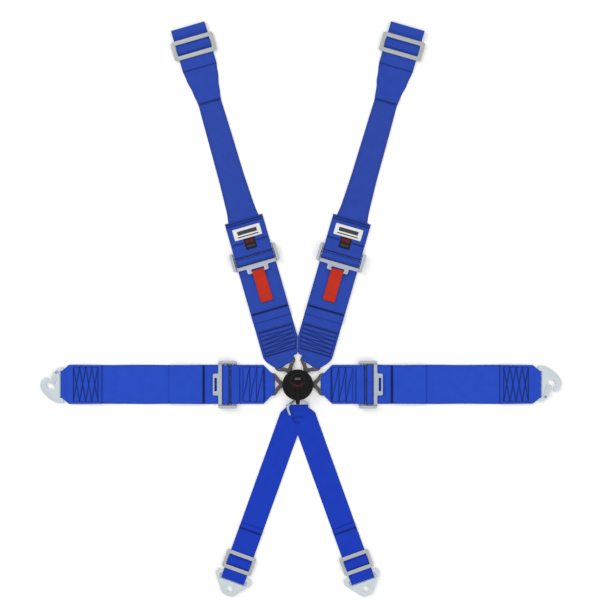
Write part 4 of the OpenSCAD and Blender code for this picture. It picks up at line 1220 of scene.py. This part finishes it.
def sub_leg(name, side):
    plan = leg_plan(side)
    wave = soft_wave(80 + side, 0.8, 90)
    crease = nearness(CREASES, 2.4)
    hem_row = LEG_TAIL + 9.6
    hem_near = nearness(across([hem_row], SUB_HALF), 1.1)

    def lift(u, w):
        soft = 0.5 * math.sin(0.13 * u + 1.6 * w + side) * hill(u, 24, 40, 70, 92) * (1 - w * w)
        return hill(u, 96, 130, 235, 262) * wave(u, w) + soft - 0.9 * crease(*plan(u, w))

    # Painted shade in the creases and beside the hem's sewing.
    def painted_shade(u, w):
        return max(0.45 * crease(*plan(u, w)), 0.7 * hem_near(u, w * SUB_HALF))

    path = bar_fold(SUB_FOLD_U, 11)[::-1] \
        + [(66, LAYER_2), (74, LAYER_2 - 0.25), (90, LAYER_1 + 0.3), (98, LAYER_1)] \
        + slide_pass(LEG_SLIDE, RISE_LOW, LAYER_1) + shift(arc((0, BAR_Z), BAR_TURN, -90, 90), LEG_BAR) \
        + [(LEG_BAR - 3, BAR_Z + BAR_TURN - 0.5), (LEG_BAR - 16, LAYER_2)] \
        + slide_pass(LEG_SLIDE, RISE_HIGH, LAYER_2, -1) + hem(LEG_TAIL, 11, -1)
    leg = web(f"sub_leg_{name}_web", path, plan, BUCKLE_FRAME, SUB_BLUE, SUB_HALF, cols=26, lift=lift,
              painted_shade=painted_shade, sewn=(30, 62))
    m = placed(LEG_ROOT, LEG_ANGLE, side)
    body = f"sub_{name}_leg"
    blend_s(leg)
    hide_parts(f"sub_leg_strap_{name}", *(["sub_apex_strap"] if side < 0 else []))
    hang(body, [sew(f"sub_tail_thread_{name}", across([hem_row], 21.4), TOP_3, m, LAP_THREAD)])
    slide(f"sub_slide_{name}_frame", moved(m, LEG_SLIDE), 29.8, SUB_HALF + 0.5, 7.3,
          f"sub_slide_{name}", body)
    end_plate(name, m)


def end_plate(name, m):
    """Flat plate with a bolt hole and a window for the webbing, which its two lips close in."""
    lip, notch, notch_end = SUB_HALF + 0.6, SUB_HALF + 4.6, LEG_BAR + BAR_REACH + 1.5
    hole_s, nose = LEG_BAR + BAR_REACH + 15.5, 11.5
    outline = rounded(both_sides([
        (notch_end, -notch, 3.5), (LEG_BAR - 5, -notch, 2), (LEG_BAR - 6.5, -lip, 1), (LEG_BAR - 12, -lip, 1),
        (LEG_BAR - 12, -35, 5), (LEG_BAR - 2, -37, 6), (hole_s + nose + 2, -10, nose)]))
    hole = shift(arc((0, 0), 6.35, 0, 352.5, 47), hole_s)
    o = plate(f"sub_plate_{name}_plate", [outline, hole], PLATE_LOW, PLATE_T, m, HOOK_STEEL)
    hang(f"sub_{name}_plate", [o, pin_bar(f"sub_plate_{name}_bar", LEG_BAR, m)], f"sub_end_plate_{name}")


for name, side in SIDES.items():
    sub_leg(name, side)


# ---- Buckle ----

KNOB_R = (KNOB_HIGH.x - KNOB_LOW.x) / 2
KNOB_Z, KNOB_TOP = KNOB_LOW.z, KNOB_HIGH.z
BADGE_Y = 8.8
BADGE_R = 12.6
PRINT_LOW, PRINT_T = 0.28, 0.18


def knob():
    """Turning knob with its raised lever."""
    r, top = KNOB_R, KNOB_TOP
    disc = lathe("knob_disc_face", [
        (2.1, KNOB_Z), (r - 0.8, KNOB_Z), (r, KNOB_Z + 0.8), (r, top - 3.2), (r - 0.6, top - 1.6),
        (r - 1.8, top - 0.5), (r - 3.4, top), (r - 6.4, top), (r - 6.9, top - 0.35), (r - 7.5, top - 0.35),
        (r - 8, top), (4, top), (4, top - 2), (2.1, top - 2), (2.1, KNOB_Z)], BUCKLE_FRAME, BLACK, 128)
    hang("knob", [disc], "knob_disc")
    tip = [(-4, -37.5, 3), (4, -37.5, 3)]
    lever = plate("knob_lever_ridge", [rounded([(-3.6, -5.2, 1.5)] + tip + [(3.6, -5.2, 1.5)])], top, 4,
                  BUCKLE_FRAME, BLACK, bevel=1.3, segments=4)
    nose = plate("knob_lever_nose", [rounded([(-4, -r - 0.2, 0.6)] + tip + [(4, -r - 0.2, 0.6)])],
                 top - 4.5, 4.7, BUCKLE_FRAME, BLACK)
    hang("knob", [lever, nose], "knob_lever")


def badge():
    """A plain badge: a ring, a crescent and two bars."""
    m = moved(BUCKLE_FRAME, 0, BADGE_Y, KNOB_TOP + 0.05)
    r = BADGE_R
    ring = lathe("badge_ring", [(r, 0), (14, 0), (14, 0.5), (13.7, 0.72), (12.9, 0.72), (r, 0.5), (r, 0)], m,
                 BADGE_RING)
    dish = lathe("badge_dish", [(0.01, 0), (r, 0), (r, 0.3), (0.01, 0.3)], m, BADGE_BLACK)
    outline = arc((0, 0), 11.6, 200, 340, 28) + arc((0, 3.2), 12.2, 331, 209, 28)
    crescent = plate("badge_crescent", [outline], PRINT_LOW, PRINT_T, m, BADGE_RED, bevel=0.05, segments=1)
    bars = [plate(f"badge_bar_{i}", [shift(rounded_box(-5.6, 5.6, 0.55, 0.3), 0, y)], PRINT_LOW, PRINT_T, m,
                  BADGE_GREY, bevel=0.05, segments=1) for i, y in enumerate((4.4, 2.2))]
    hang("knob", [ring, dish, crescent] + bars, "knob_badge")


knob()
badge()

for look, nodes in ((HOUSING, ("housing_base", "housing_top")), (KNURLED, ("cam_plate",)),
                    (STEEL, ("housing_screws", "pivot_post", "latch_pins", "knob_screw")),
                    (SPRING, ("return_spring", "pin_springs"))):
    for node in nodes:
        materials = frame["nodes"][node].data.materials
        materials.clear()
        materials.append(look[0])


# ---- Floor, camera and light ----

def studio():
    link = bpy.context.scene.collection.objects.link
    floor_me = bpy.data.meshes.new("floor")
    reach = 6
    floor_me.from_pydata([(-reach, -reach, 0), (reach, -reach, 0), (reach, reach, 0), (-reach, reach, 0)], [],
                         [(0, 1, 2, 3)])
    floor = bpy.data.objects.new("floor", floor_me)
    link(floor)
    floor_me.materials.append(new_material("floor_white", (0.96, 0.96, 0.96), 0.9, Specular_IOR_Level=0.0,
                                           Emission_Color=(1, 1, 1, 1), Emission_Strength=0.12))

    cam = bpy.data.cameras.new("camera")
    cam.lens, cam.sensor_width = 92.3, 36
    camera = bpy.data.objects.new("camera", cam)
    camera.location = (0.0043, 0.1644, 3.0)
    link(camera)
    bpy.context.scene.camera = camera

    for name, place, size, power in (("key", (-2.2, 1.8, 2.2), 1.4, 26), ("fill", (2.2, -1.6, 2.2), 1.4, 12)):
        data = bpy.data.lights.new(name, "AREA")
        data.energy, data.size = power, size
        lamp = bpy.data.objects.new(name, data)
        lamp.location = place
        lamp.rotation_euler = (Vector((0, 0.15, 0)) - Vector(place)).to_track_quat("-Z", "Y").to_euler()
        link(lamp)

    world = bpy.data.worlds.new("studio")
    bpy.context.scene.world = world
    world.use_nodes = True
    n = Nodes(world, "Background")
    direction = n.add("ShaderNodeTexCoord").outputs["Generated"]
    height = n.add("ShaderNodeSeparateXYZ", {0: direction}).outputs["Z"]
    grade = n.add("ShaderNodeMapRange", {0: height, 1: 0.0, 2: 1.0, 3: 0.30, 4: 1.05})
    n.put(n.shader.inputs["Strength"], grade.outputs[0])
    n.put(n.shader.inputs["Color"], (1, 1, 1, 1))
    bpy.context.scene.view_settings.view_transform = "Standard"


studio()
